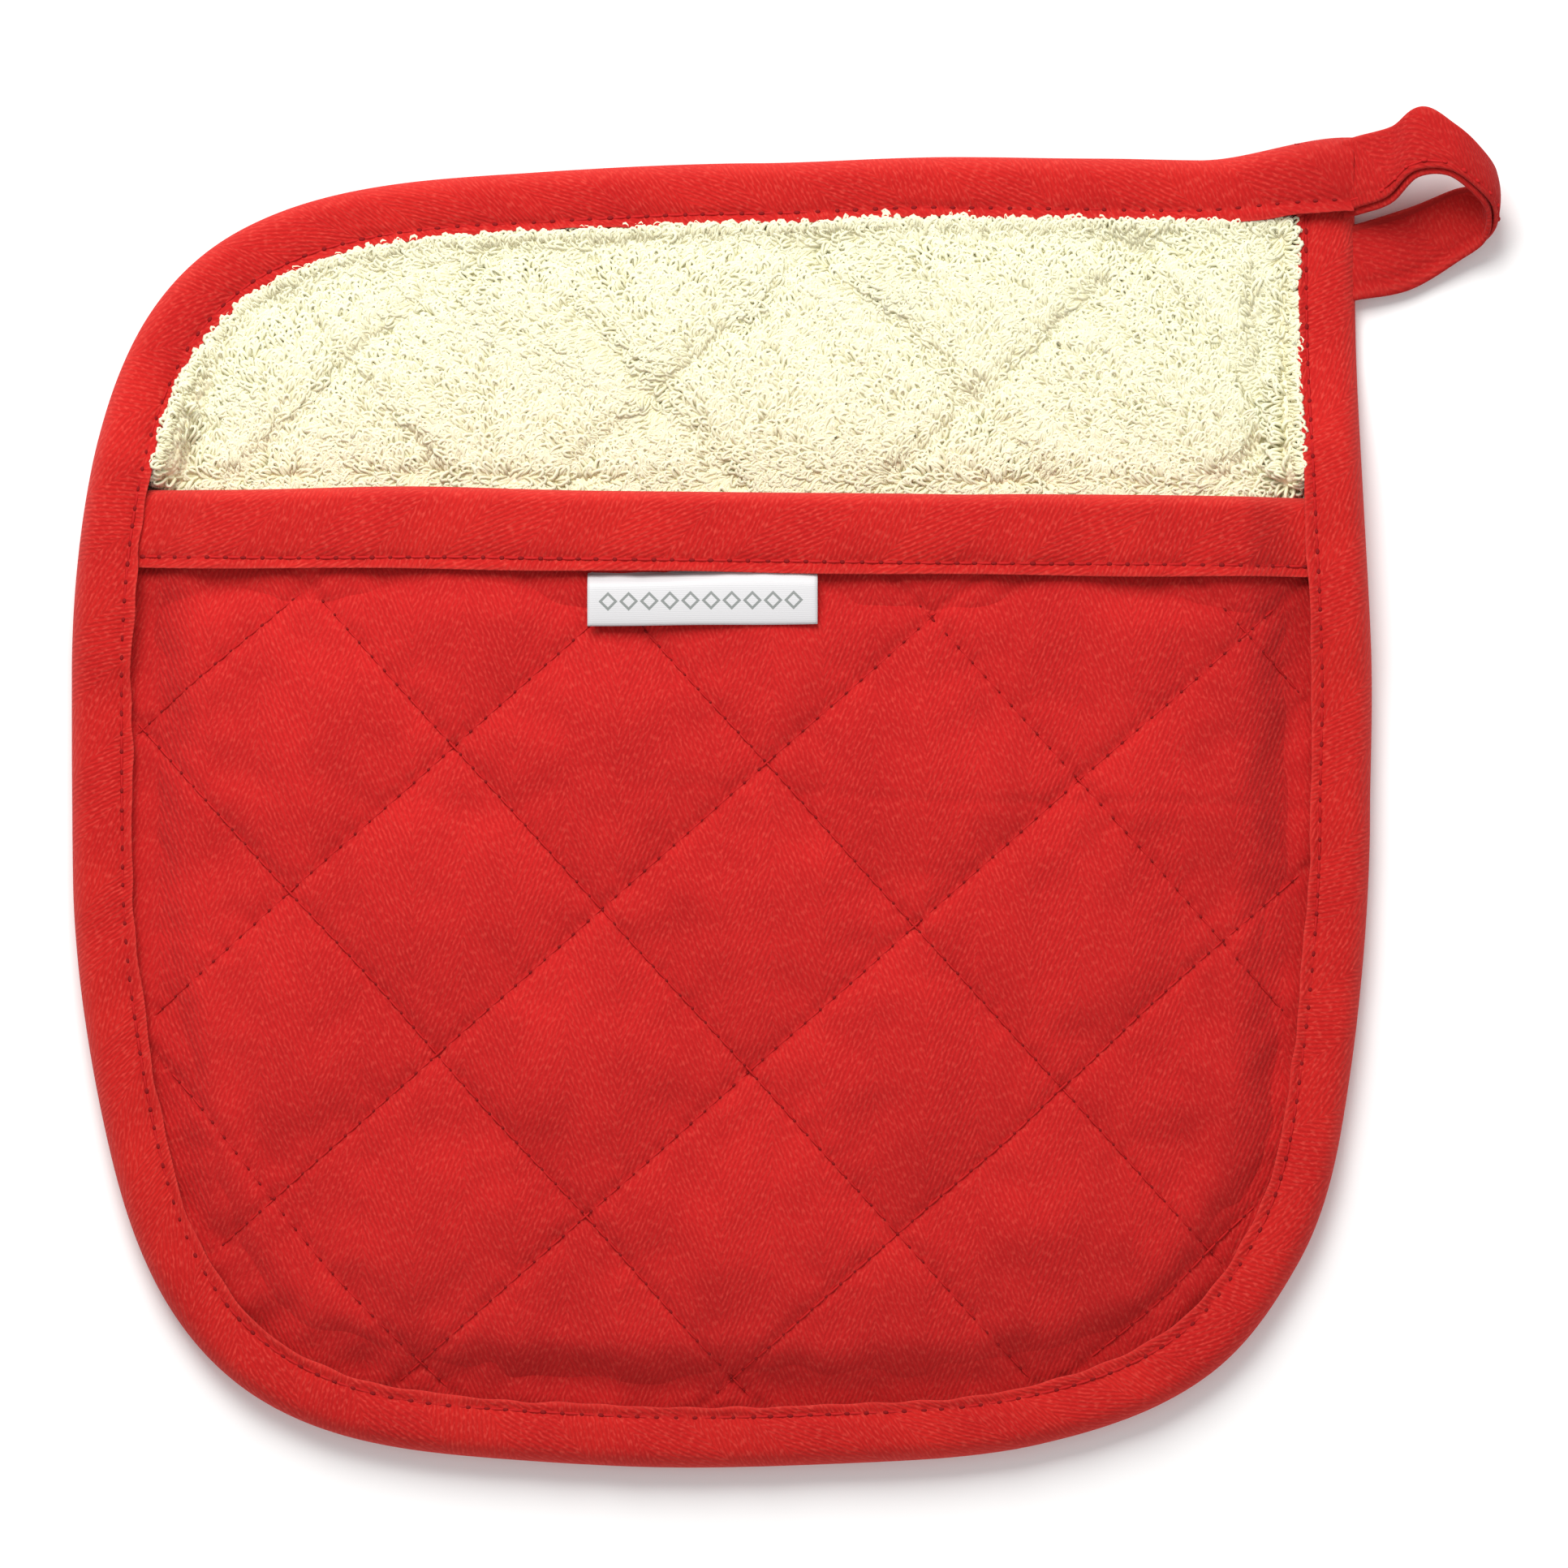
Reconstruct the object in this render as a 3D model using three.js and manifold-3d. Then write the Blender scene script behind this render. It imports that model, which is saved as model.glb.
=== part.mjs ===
// A quilted pocket mitt: a square pot holder with a pocket for the hand, bound edges and a hanging loop.
// Millimetres, +Z up. It lies on its back at z = 0, the pocket on top, its mouth towards +Y and the
// loop at the +X +Y corner. The origin is the middle of the back face.

import * as THREE from 'three';
import { mergeGeometries, mergeVertices } from 'three/addons/utils/BufferGeometryUtils.js';
import Module from 'manifold-3d';

const wasm = await Module();
wasm.setup();

// Overall sizes
const bodyWidth = 203;
const bodyLength = 204.3;

// Outline: where each side bulges furthest, and how square each corner is (a superellipse exponent)
const crown = { right: 5, top: 25, left: 10, bottom: -5 };
const squareness = { topRight: 160, topLeft: 3.8, bottomLeft: 3.3, bottomRight: 3.35 };
const rightLean = 2.8; // the right side leans in by this much at the loop's corner
const cornerLift = 3.2; // the loop pulls the top edge up by this much at its corner

// Cloth thicknesses, and the gap kept between touching pieces
const twill = 0.6;
const tape = 0.7;
const wadding = { pressed: 0.4, full: 2.5 };
const terry = { pressed: 0.6, full: 2.0 };
const gap = 0.3;

// Bindings: tape folded over an edge, measured from the fold
const edgeFrontLeg = 9.6;
const edgeBackLeg = 10.2;
const pocketLeg = 12.5;
const edgeSeamFromTip = 1.6;
const pocketSeamFromTip = 1.8;
const foldBevel = 1.2;

// Pocket: its mouth below the top crown, how the mouth line falls to the right, and how far it gapes
const mouthFromTop = 52.15;
const mouthSlope = 0.0115;
const pocketGape = 9;
const mouthFullness = 0.35; // how full the padding stays under the pocket binding
const gapeSquareness = 2.6;

// Quilting: lines of both directions, their angle, spacing and the offset of one line from the origin
const quilting = {
  spacing: 34.2,
  // the angle of each direction of lines, and how far the nearest one passes from the middle
  front: [{ angle: -47.7, phase: 10.5 }, { angle: 41.5, phase: 1.2 }],
  back: [{ angle: -47.7, phase: 2.8 }, { angle: 41.5, phase: -13.7 }],
};
const threadSize = 0.5;
const grooveWidth = 1.6;
const grooveDepth = 0.8;

// Label under the pocket binding
const label = { left: -20.7, right: 15.0, drop: 7.4, thickness: 0.5, fromBinding: 1.0 };

// Hanging loop
const loopThickness = 1.8;
const loopSeamFromEdge = 0.15; // as a share of the band's width
const loopRoom = 0.5;

// Fineness of the grids
const edgeStep = 9.5;
const panelStations = 64;
const mouthStep = 12.7;
const sideSpans = 32;
const barStep = 11;

// Derived sizes
const halfWidth = bodyWidth / 2;
const halfLength = bodyLength / 2;
const mouthY = halfLength - mouthFromTop;
const mouthSpans = Math.round(bodyWidth / mouthStep);
const panelEdge = tape + gap + 0.8; // from the fold's outside to the edge of each cloth layer
const pressedReach = Math.max(edgeFrontLeg, edgeBackLeg) + 0.7;
const joggleReach = pressedReach + 3.1;
const fullReach = pressedReach + 9.1;
const bandReach = pocketLeg + 1.2;
const bandRelease = bandReach + 9;
const legRoom = tape + gap;
const rimBack = legRoom + twill + gap + wadding.pressed + gap + terry.pressed;
const rimFront = rimBack + gap + terry.pressed + gap + wadding.pressed + gap + twill;
const rimBand = rimFront + legRoom + gap + tape;

// ---------------------------------------------------------------- small helpers

const mix = (a, b, share) => a + (b - a) * share;
const clamp01 = (value) => Math.min(1, Math.max(0, value));

const ramp = (from, to, value) => clamp01((value - from) / (to - from));

function smooth(from, to, value) {
  const share = ramp(from, to, value);
  return share * share * (3 - 2 * share);
}

// The value between low and high where test turns from false to true.
function turningPoint(low, high, test) {
  for (let i = 0; i < 40; i++) {
    const middle = (low + high) / 2;
    if (test(middle)) high = middle;
    else low = middle;
  }
  return (low + high) / 2;
}

// Parameters from start to end that are evenly spaced along a plane curve, the last one left out.
function evenSpacing(curve, start, end, count) {
  const samples = 400;
  const lengths = [0];
  for (let i = 1; i <= samples; i++) {
    const [x0, y0] = curve(mix(start, end, (i - 1) / samples));
    const [x1, y1] = curve(mix(start, end, i / samples));
    lengths.push(lengths[i - 1] + Math.hypot(x1 - x0, y1 - y0));
  }
  return Array.from({ length: count }, (_, k) => {
    const target = (lengths[samples] * k) / count;
    const i = Math.max(1, lengths.findIndex((length) => length >= target));
    const share = (target - lengths[i - 1]) / (lengths[i] - lengths[i - 1]);
    return mix(start, end, (i - 1 + share) / samples);
  });
}

// ---------------------------------------------------------------- the outline

// Each quarter is part of a superellipse. Going round from the right crown, t grows by 1 a quarter.
const quarters = [
  {
    x: crown.top, y: crown.right, n: squareness.topRight,
    a: halfWidth - crown.top, b: halfLength - crown.right,
  },
  {
    x: crown.top, y: crown.left, n: squareness.topLeft,
    a: halfWidth + crown.top, b: halfLength - crown.left,
  },
  {
    x: crown.bottom, y: crown.left, n: squareness.bottomLeft,
    a: halfWidth + crown.bottom, b: halfLength + crown.left,
  },
  {
    x: crown.bottom, y: crown.right, n: squareness.bottomRight,
    a: halfWidth - crown.bottom, b: halfLength + crown.right,
  },
];

// A round corner gets squarer as it is inset, so that the strip between two insets stays even.
function exponentAt(quarter, inset) {
  const isRound = quarter.n < 8;
  return isRound ? quarter.n * (1 + (0.7 * inset) / Math.min(quarter.a, quarter.b)) : quarter.n;
}

function leanAt(x, y) {
  const acrossShare = clamp01((x - crown.top) / (halfWidth - crown.top));
  return rightLean * acrossShare * smooth(crown.right, crown.right + 0.8 * (halfLength - crown.right), y);
}

function liftAt(x, y, inset) {
  const nearCorner = smooth(halfWidth - 27, halfWidth - 4, x) * smooth(halfLength - 24, halfLength - 8, y);
  return cornerLift * nearCorner * (1 - 0.7 * clamp01(inset / edgeFrontLeg));
}

function outlinePoint(t, inset) {
  const turn = ((t % 4) + 4) % 4;
  const quarter = quarters[Math.floor(turn)];
  const across = Math.cos((turn * Math.PI) / 2);
  const along = Math.sin((turn * Math.PI) / 2);
  const n = exponentAt(quarter, inset);
  const reach = (Math.abs(across) ** n + Math.abs(along) ** n) ** (-1 / n);
  const x = quarter.x + (quarter.a - inset) * across * reach;
  const y = quarter.y + (quarter.b - inset) * along * reach;
  return [x - leanAt(x, y), y + liftAt(x, y, inset)];
}

// How far inside the outline a point lies.
function insetAt(x, y) {
  const isUpper = y > (x > 0 ? crown.right : crown.left);
  const isRight = x > (isUpper ? crown.top : crown.bottom);
  const quarter = quarters[isUpper ? (isRight ? 0 : 1) : (isRight ? 3 : 2)];
  const dx = Math.abs(x + leanAt(x, y) - quarter.x);
  const dy = Math.abs(y - quarter.y);
  return turningPoint(-10, Math.min(quarter.a, quarter.b) - 1, (inset) => {
    const n = exponentAt(quarter, inset);
    return (dx / (quarter.a - inset)) ** n + (dy / (quarter.b - inset)) ** n > 1;
  });
}

const belowMouth = (x, y) => mouthY - mouthSlope * x - y;

// Where the outline at an inset passes a level below the mouth line, on the right and on the left.
function rightPass(inset, level) {
  return turningPoint(-0.5, 0.5, (t) => belowMouth(...outlinePoint(t, inset)) < level);
}

function leftPass(inset, level) {
  return turningPoint(1.5, 2.5, (t) => belowMouth(...outlinePoint(t, inset)) > level);
}

// ---------------------------------------------------------------- heights of the layers

// Each function gives the bottom and top of a layer at a point.
function backLevels(x, y) {
  const inset = insetAt(x, y);
  const fullness = ramp(pressedReach, fullReach, inset);
  const bottom = legRoom * (1 - ramp(pressedReach, joggleReach, inset));
  const shell = [bottom, bottom + twill];
  const pad = [shell[1] + gap, shell[1] + gap + mix(wadding.pressed, wadding.full, fullness)];
  const lining = [pad[1] + gap, pad[1] + gap + mix(terry.pressed, terry.full, fullness)];
  return { shell, pad, lining };
}

// The pocket's gape: highest in the middle of the mouth, nothing along the sewn sides.
function gapeAt(x, y) {
  const across = Math.abs(x) / (halfWidth - pressedReach);
  const down = Math.max(0, belowMouth(x, y)) / (mouthY + halfLength - pressedReach);
  const rho = (across ** gapeSquareness + down ** gapeSquareness) ** (1 / gapeSquareness);
  return pocketGape * Math.max(0, 1 - rho ** 2) * ramp(pressedReach, fullReach, insetAt(x, y));
}

function frontLevels(x, y) {
  const below = Math.max(panelEdge, belowMouth(x, y));
  const released = ramp(bandReach, bandRelease, below);
  const sideFullness = ramp(pressedReach, fullReach, insetAt(x, y));
  const fullness = mouthFullness * sideFullness + (1 - mouthFullness) * Math.min(sideFullness, released);
  const bottom = backLevels(x, y).lining[1] + gap + legRoom * (1 - released) + gapeAt(x, y);
  const lining = [bottom, bottom + mix(terry.pressed, terry.full, fullness)];
  const pad = [lining[1] + gap, lining[1] + gap + mix(wadding.pressed, wadding.full, fullness)];
  const shell = [pad[1] + gap, pad[1] + gap + twill];
  return { shell, pad, lining };
}

// Underside of the edge binding's front leg, which climbs over the pocket panel and its binding.
const legKnots = [
  { below: -17, height: rimBack + gap },
  { below: -6.5, height: rimBand + gap },
  { below: pocketLeg + 3.5, height: rimBand + gap },
  { below: pocketLeg + 20, height: rimFront + gap },
];

function frontLegHeight(x, y) {
  const below = belowMouth(x, y);
  const after = legKnots.findIndex((knot) => below <= knot.below);
  if (after === 0) return legKnots[0].height;
  if (after < 0) return legKnots[legKnots.length - 1].height;
  const [low, high] = [legKnots[after - 1], legKnots[after]];
  return mix(low.height, high.height, (below - low.below) / (high.below - low.below));
}

// ---------------------------------------------------------------- from grids to closed meshes

// Merges shared points, drops empty triangles and turns the faces outwards.
function sealed(geometry) {
  geometry.deleteAttribute('normal');
  geometry.deleteAttribute('uv');
  const merged = mergeVertices(geometry, 1e-4);
  const index = [];
  let volume = 0;
  const [a, b, c] = [new THREE.Vector3(), new THREE.Vector3(), new THREE.Vector3()];
  for (let i = 0; i < merged.index.count; i += 3) {
    const [p, q, r] = [0, 1, 2].map((k) => merged.index.getX(i + k));
    if (p === q || q === r || r === p) continue;
    index.push(p, q, r);
    a.fromBufferAttribute(merged.attributes.position, p);
    b.fromBufferAttribute(merged.attributes.position, q);
    c.fromBufferAttribute(merged.attributes.position, r);
    volume += a.dot(b.cross(c));
  }
  if (volume < 0) index.reverse();
  merged.setIndex(index);
  return merged;
}

// A surface on a lathe's grid: place(station, row) gives each point.
function gridSurface(stationCount, rowCount, place) {
  const profile = Array.from({ length: rowCount }, (_, row) => new THREE.Vector2(row + 1, 0));
  const geometry = new THREE.LatheGeometry(profile, stationCount);
  const position = geometry.attributes.position;
  for (let i = 0; i < position.count; i++) {
    const station = Math.floor(i / rowCount) % stationCount;
    position.setXYZ(i, ...place(station, i % rowCount));
  }
  return geometry;
}

// An extruded section with its points moved by place(u, v, along); along runs from 0 to 1.
function warpedStrip(section, steps, place) {
  const shape = new THREE.Shape(section.map(([u, v]) => new THREE.Vector2(u, v)));
  const geometry = new THREE.ExtrudeGeometry(shape, { depth: 1, steps, bevelEnabled: false });
  const position = geometry.attributes.position;
  for (let i = 0; i < position.count; i++) {
    position.setXYZ(i, ...place(position.getX(i), position.getY(i), position.getZ(i)));
  }
  return sealed(geometry);
}

const unitSquare = [[0, 0], [1, 0], [1, 1], [0, 1]];

function toSolid(geometry) {
  const vertProperties = new Float32Array(geometry.attributes.position.array);
  const triVerts = new Uint32Array(geometry.index.array);
  return new wasm.Manifold(new wasm.Mesh({ numProp: 3, vertProperties, triVerts }));
}

function toGeometry(solid) {
  const { vertProperties, triVerts } = solid.getMesh();
  const geometry = new THREE.BufferGeometry();
  geometry.setAttribute('position', new THREE.BufferAttribute(new Float32Array(vertProperties), 3));
  geometry.setIndex(new THREE.BufferAttribute(new Uint32Array(triVerts), 1));
  return geometry;
}

const joined = (geometries) => geometries.map(toSolid).reduce((whole, piece) => whole.add(piece));

// ---------------------------------------------------------------- panels

const backRings = [{ share: 0 }, { share: 0.5 }, { inset: fullReach }, { inset: joggleReach },
  { inset: pressedReach }, { inset: panelEdge }];
const backTurns = evenSpacing((t) => outlinePoint(t, 0), 0.5, 4.5, panelStations);

function backPlan(station, ring) {
  const { share, inset } = backRings[ring];
  if (inset !== undefined) return outlinePoint(backTurns[station], inset);
  const [x, y] = outlinePoint(backTurns[station], fullReach);
  return [x * share, y * share];
}

// The left and right ends of a line that runs across at a level below the mouth.
function acrossAt(inset, below) {
  return [outlinePoint(leftPass(inset, below), inset)[0], outlinePoint(rightPass(inset, below), inset)[0]];
}

// Where the grid lines of the mouth stand, from right to left, and those of the sewn side, going round.
const mouthKnots = (() => {
  const [pressedLeft, pressedRight] = acrossAt(pressedReach, pocketLeg / 2);
  const [fullLeft, fullRight] = acrossAt(fullReach, pocketLeg / 2);
  const even = Array.from({ length: mouthSpans + 1 }, (_, k) => mix(fullRight, fullLeft, k / mouthSpans));
  return [pressedRight, ...even, pressedLeft];
})();
const sideKnots = (() => {
  const start = leftPass(0, bandRelease);
  const end = rightPass(0, bandRelease) + 4;
  const even = evenSpacing((t) => outlinePoint(t, 0), start, end, sideSpans);
  return [leftPass(0, bandReach), ...even, end, rightPass(0, bandReach) + 4];
})();

// The k-th of a row's grid lines: its knot, held inside the row's own ends, which are the first and last.
function gridLine(knots, k, first, last, margin) {
  if (k === 0) return first;
  if (k > knots.length) return last;
  const direction = Math.sign(last - first);
  const low = first + direction * margin * k;
  const high = last - direction * margin * (knots.length + 1 - k);
  const knot = knots[k - 1];
  return direction > 0 ? Math.min(high, Math.max(low, knot)) : Math.max(high, Math.min(low, knot));
}

const mouthLine = (k, left, right) => gridLine(mouthKnots, k, right, left, 0.3);
const sideLine = (k, start, end) => gridLine(sideKnots, k, start, end, 0.003);
const mouthStations = mouthKnots.length + 1;
const sideStations = sideKnots.length + 1;

// The pocket panel's rings follow the outline and, across the top, the mouth line.
const frontPole = [0, (mouthY - halfLength) / 2];
const frontRings = [{ share: 0 }, { share: 0.3 }, { share: 0.58 }, { share: 0.82 },
  { inset: fullReach, below: bandRelease }, { inset: pressedReach, below: bandReach },
  { inset: panelEdge, below: panelEdge }];
const innermostRing = frontRings[4];

function frontRim(station, inset, below) {
  if (station >= mouthStations) {
    const turn = sideLine(station - mouthStations, leftPass(inset, below), rightPass(inset, below) + 4);
    return outlinePoint(turn, inset);
  }
  const x = mouthLine(station, ...acrossAt(inset, below));
  return [x, mouthY - mouthSlope * x - below];
}

function frontPlan(station, ring) {
  const { share, inset, below } = frontRings[ring];
  if (inset !== undefined) return frontRim(station, inset, below);
  const [x, y] = frontRim(station, innermostRing.inset, innermostRing.below);
  return [mix(frontPole[0], x, share), mix(frontPole[1], y, share)];
}

// A layer of cloth over a plan of rings round a pole, between the two levels it is given. Its upper
// and lower faces are split into the same triangles, so layers stay parallel.
function clothLayer(plan, stationCount, ringCount, levels) {
  const point = (station, ring, side) => {
    const [x, y] = plan(station, ring);
    return [x, y, levels(x, y)[side]];
  };
  const upper = gridSurface(stationCount, ringCount, (station, ring) => point(station, ring, 1));
  const rim = gridSurface(stationCount, 2, (station, row) => point(station, ringCount - 1, 1 - row));
  const lower = gridSurface(stationCount, ringCount, (station, ring) => point(station, ring, 0));
  lower.index.array.reverse();
  return sealed(mergeGeometries([upper, rim, lower]));
}

const backLayer = (name) =>
  clothLayer(backPlan, panelStations, backRings.length, (x, y) => backLevels(x, y)[name]);
const frontLayer = (name) =>
  clothLayer(frontPlan, mouthStations + sideStations, frontRings.length, (x, y) => frontLevels(x, y)[name]);

// ---------------------------------------------------------------- quilting

// The stretch of each quilting line that lies inside a region, as its two ends.
function quiltingLines(directions, isInside) {
  return directions.flatMap(({ angle, phase }) => {
    const [dx, dy] = [Math.cos(THREE.MathUtils.degToRad(angle)), Math.sin(THREE.MathUtils.degToRad(angle))];
    const reach = Math.hypot(halfWidth, halfLength);
    const count = Math.ceil(reach / quilting.spacing);
    const lines = [];
    for (let k = -count; k <= count; k++) {
      const offset = phase + k * quilting.spacing;
      const at = (s) => [-dy * offset + dx * s, dx * offset + dy * s];
      const samples = Array.from({ length: 121 }, (_, i) => mix(-reach, reach, i / 120));
      const inside = samples.filter((s) => isInside(...at(s)));
      if (!inside.length) continue;
      const pitch = samples[1] - samples[0];
      const [first, last] = [inside[0], inside[inside.length - 1]];
      const start = turningPoint(first - pitch, first, (s) => isInside(...at(s)));
      const end = turningPoint(last, last + pitch, (s) => !isInside(...at(s)));
      // a line longer than the spacing always crosses one of the other direction
      if (end - start > 1.1 * quilting.spacing) lines.push([at(start), at(end)]);
    }
    return lines;
  });
}

// A bar of square section along a line, with a step at each of its marks and its underside at height(x, y).
function bar([start, end], marks, width, thickness, height) {
  const [dx, dy] = [end[0] - start[0], end[1] - start[1]];
  const length = Math.hypot(dx, dy);
  return warpedStrip(unitSquare, marks.length - 1, (u, v, along) => {
    const share = marks[Math.round(along * (marks.length - 1))];
    const [x, y] = [start[0] + dx * share, start[1] + dy * share];
    const side = (u - 0.5) * width;
    return [x - (dy / length) * side, y + (dx / length) * side, height(x, y) + v * thickness];
  });
}

const backQuilt = quiltingLines(quilting.back, (x, y) => insetAt(x, y) > fullReach + 1.5);
const liningTop = backLevels(0, 0).lining[1];

function backLiningGeometry() {
  const grooves = backQuilt.map((line) => bar(line, [0, 1], grooveWidth, 5, () => liningTop - grooveDepth));
  return toGeometry(toSolid(backLayer('lining')).subtract(joined(grooves)));
}

function backQuiltingGeometry() {
  const shorter = ([[x0, y0], [x1, y1]]) => {
    const trim = 0.6 / Math.hypot(x1 - x0, y1 - y0);
    return [[mix(x0, x1, trim), mix(y0, y1, trim)], [mix(x1, x0, trim), mix(y1, y0, trim)]];
  };
  const height = () => liningTop - grooveDepth + gap;
  const bars = backQuilt.map((line) => bar(shorter(line), [0, 1], threadSize, threadSize, height));
  return toGeometry(joined(bars));
}

function frontQuiltingGeometry() {
  const isInside = (x, y) => insetAt(x, y) > pressedReach + 0.7 && belowMouth(x, y) > pocketLeg + 0.8;
  const height = (x, y) => frontLevels(x, y).shell[1] + 2 * gap;
  const isFull = (x, y) => insetAt(x, y) > fullReach && belowMouth(x, y) > bandRelease;
  const isNearSide = (x, y) =>
    ramp(pressedReach, fullReach, insetAt(x, y)) < ramp(bandReach, bandRelease, belowMouth(x, y));
  const sharePitch = 1 / 60;
  const shares = Array.from({ length: 61 }, (_, k) => k * sharePitch);
  const bars = quiltingLines(quilting.front, isInside).map(([start, end]) => {
    const at = (share) => [mix(start[0], end[0], share), mix(start[1], end[1], share)];
    const middle = shares.filter((share) => isFull(...at(share)));
    if (!middle.length) {
      const ridge = turningPoint(0, 1, (share) => isNearSide(...at(share)) !== isNearSide(...start));
      return bar([start, end], [0, ridge, 1], threadSize, threadSize, height);
    }
    const rise = turningPoint(middle[0] - sharePitch, middle[0], (share) => isFull(...at(share)));
    const last = middle[middle.length - 1];
    const fall = turningPoint(last, last + sharePitch, (share) => !isFull(...at(share)));
    const spans = Math.ceil(((fall - rise) * Math.hypot(end[0] - start[0], end[1] - start[1])) / barStep);
    const even = Array.from({ length: spans + 1 }, (_, k) => mix(rise, fall, k / spans));
    return bar([start, end], [0, ...even, 1], threadSize, threadSize, height);
  });
  return toGeometry(joined(bars));
}

// ---------------------------------------------------------------- bindings

// Stations round the edge, with one at each knot of the front leg's height and one at the loop's corner.
const edgeTurns = (() => {
  const right = legKnots.map((knot) => rightPass(0, knot.below)).reverse();
  const left = legKnots.map((knot) => leftPass(0, knot.below));
  const keys = [...right, 0.5, ...left, right[0] + 4];
  const curve = (t) => outlinePoint(t, 0);
  return keys.slice(1).flatMap((end, k) => {
    const start = keys[k];
    const [x0, y0] = curve(start);
    const [x1, y1] = curve(end);
    const isLong = end - start > 1.2;
    const chord = isLong ? 1.35 * Math.hypot(x1 - x0, y1 - y0) : Math.hypot(x1 - x0, y1 - y0);
    return evenSpacing(curve, start, end, Math.max(1, Math.ceil(chord / edgeStep)));
  });
})();

// A ring round the edge whose section is a list of [inset, height, isRaised]; raised points ride on
// the front leg's underside.
function edgeRing(section) {
  const closed = [...section, section[0]];
  return sealed(gridSurface(edgeTurns.length, closed.length, (station, row) => {
    const [inset, height, isRaised] = closed[row];
    const t = edgeTurns[station];
    const raise = isRaised ? frontLegHeight(...outlinePoint(t, 0)) : 0;
    return [...outlinePoint(t, inset), height + raise];
  }));
}

function edgeBindingGeometry() {
  const innerBevel = foldBevel + 0.2;
  return edgeRing([
    [edgeBackLeg, 0, false],
    [foldBevel, 0, false],
    [0, foldBevel - 0.2, false],
    [0, tape - foldBevel + 0.2, true],
    [foldBevel, tape, true],
    [edgeFrontLeg, tape, true],
    [edgeFrontLeg, 0, true],
    [innerBevel, 0, true],
    [tape, -0.6, true],
    [tape, tape + 0.6, false],
    [innerBevel, tape, false],
    [edgeBackLeg, tape, false],
  ]);
}

function edgeSeamGeometry() {
  const middle = edgeFrontLeg - edgeSeamFromTip;
  const [near, far] = [middle - threadSize / 2, middle + threadSize / 2];
  const [low, high] = [tape + gap, tape + gap + threadSize];
  return edgeRing([[near, low, true], [far, low, true], [far, high, true], [near, high, true]]);
}

function pocketBindingGeometry() {
  // section: distance below the mouth line, and a level from 0 (lower leg's underside) to 3 (upper leg's top)
  const section = [[pocketLeg, 0], [0.9, 0], [0, 1.15], [0, 1.85], [0.9, 3], [pocketLeg, 3],
    [pocketLeg, 2], [tape, 2], [tape, 1], [pocketLeg, 1]];
  // the legs stay parallel to the panel between its two outer rings
  const nextRings = frontRings.slice(-2);
  return warpedStrip(section, mouthStations, (below, level, along) => {
    const station = Math.round(along * mouthStations);
    const x = mouthLine(station, ...acrossAt(panelEdge + 0.2, below));
    const y = mouthY - mouthSlope * x - below;
    const [inner, outer] = nextRings.map((ring) => frontLevels(...frontRim(station, ring.inset, ring.below)));
    const share = (bandReach - below) / (bandReach - panelEdge);
    const underside = mix(inner.lining[0], outer.lining[0], share);
    const top = mix(inner.shell[1], outer.shell[1], share);
    const heights = [underside - gap - tape, underside - gap, top + gap, top + gap + tape];
    const lower = Math.min(2, Math.floor(level));
    return [x, y, mix(heights[lower], heights[lower + 1], level - lower)];
  });
}

function pocketSeamGeometry() {
  const below = pocketLeg - pocketSeamFromTip;
  const ends = acrossAt(edgeFrontLeg + 0.6, below);
  return warpedStrip(unitSquare, mouthStations, (u, v, along) => {
    const x = mouthLine(Math.round(along * mouthStations), ...ends);
    const y = mouthY - mouthSlope * x - below + (u - 0.5) * threadSize;
    return [x, y, frontLevels(x, y).shell[1] + gap + tape + gap + v * threadSize];
  });
}

// ---------------------------------------------------------------- label

const labelTop = pocketLeg + label.fromBinding;
const labelClearance = 3 * gap + threadSize;

function labelGeometry() {
  return warpedStrip(unitSquare, 6, (u, v, along) => {
    const x = mix(label.left, label.right, u);
    const y = mouthY - mouthSlope * x - labelTop - along * label.drop;
    return [x, y, frontLevels(x, y).shell[1] + labelClearance + v * label.thickness];
  });
}

// ---------------------------------------------------------------- hanging loop

// The band's two edges from its root on the top edge, out, round and back under to the right edge.
// Across and up are measured from the body's corner, and the height from the table.
const outerEdge = [[0, 3.4, 5.6], [6.4, 5.1, 8.4], [11.6, 7.4, 11.2], [15.9, 5.6, 11.8], [19.7, 2.0, 10.0],
  [21.7, -1.0, 7.0], [20.7, -2.4, 4.2], [15.8, -4.2, 2.6], [8.8, -7.0, 1.9], [0, -9.6, 2.1]];
const innerEdge = [[0, -8.4, 5.6], [5.4, -6.2, 9.0], [10.7, -3.0, 12.6], [16.0, -3.3, 13.4],
  [19.9, -5.8, 11.6], [22.0, -9.3, 8.4], [20.9, -12.8, 5.2], [16.5, -15.5, 2.9], [8.7, -20.0, 1.9],
  [0, -21.6, 2.1]];
const loopRoot = [halfWidth - rightLean + loopRoom, halfLength];

function edgeCurve(points) {
  const [rootX, rootY] = loopRoot;
  return new THREE.CatmullRomCurve3(points.map(([x, y, z]) => new THREE.Vector3(rootX + x, rootY + y, z)));
}

// A point on the band: share runs from the outer edge to the inner one, lift is off the middle surface.
const loopPoint = (() => {
  const [outer, inner] = [edgeCurve(outerEdge), edgeCurve(innerEdge)];
  return (share, lift, along) => {
    const across = inner.getPoint(along).sub(outer.getPoint(along));
    const tangent = outer.getTangent(along).add(inner.getTangent(along));
    const normal = new THREE.Vector3().crossVectors(across, tangent).normalize();
    const middle = outer.getPoint(along).addScaledVector(across, share);
    return middle.addScaledVector(normal, lift).toArray();
  };
})();

function loopGeometry() {
  return warpedStrip(unitSquare, 30, (u, v, along) => loopPoint(u, (v - 0.5) * loopThickness, along));
}

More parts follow.
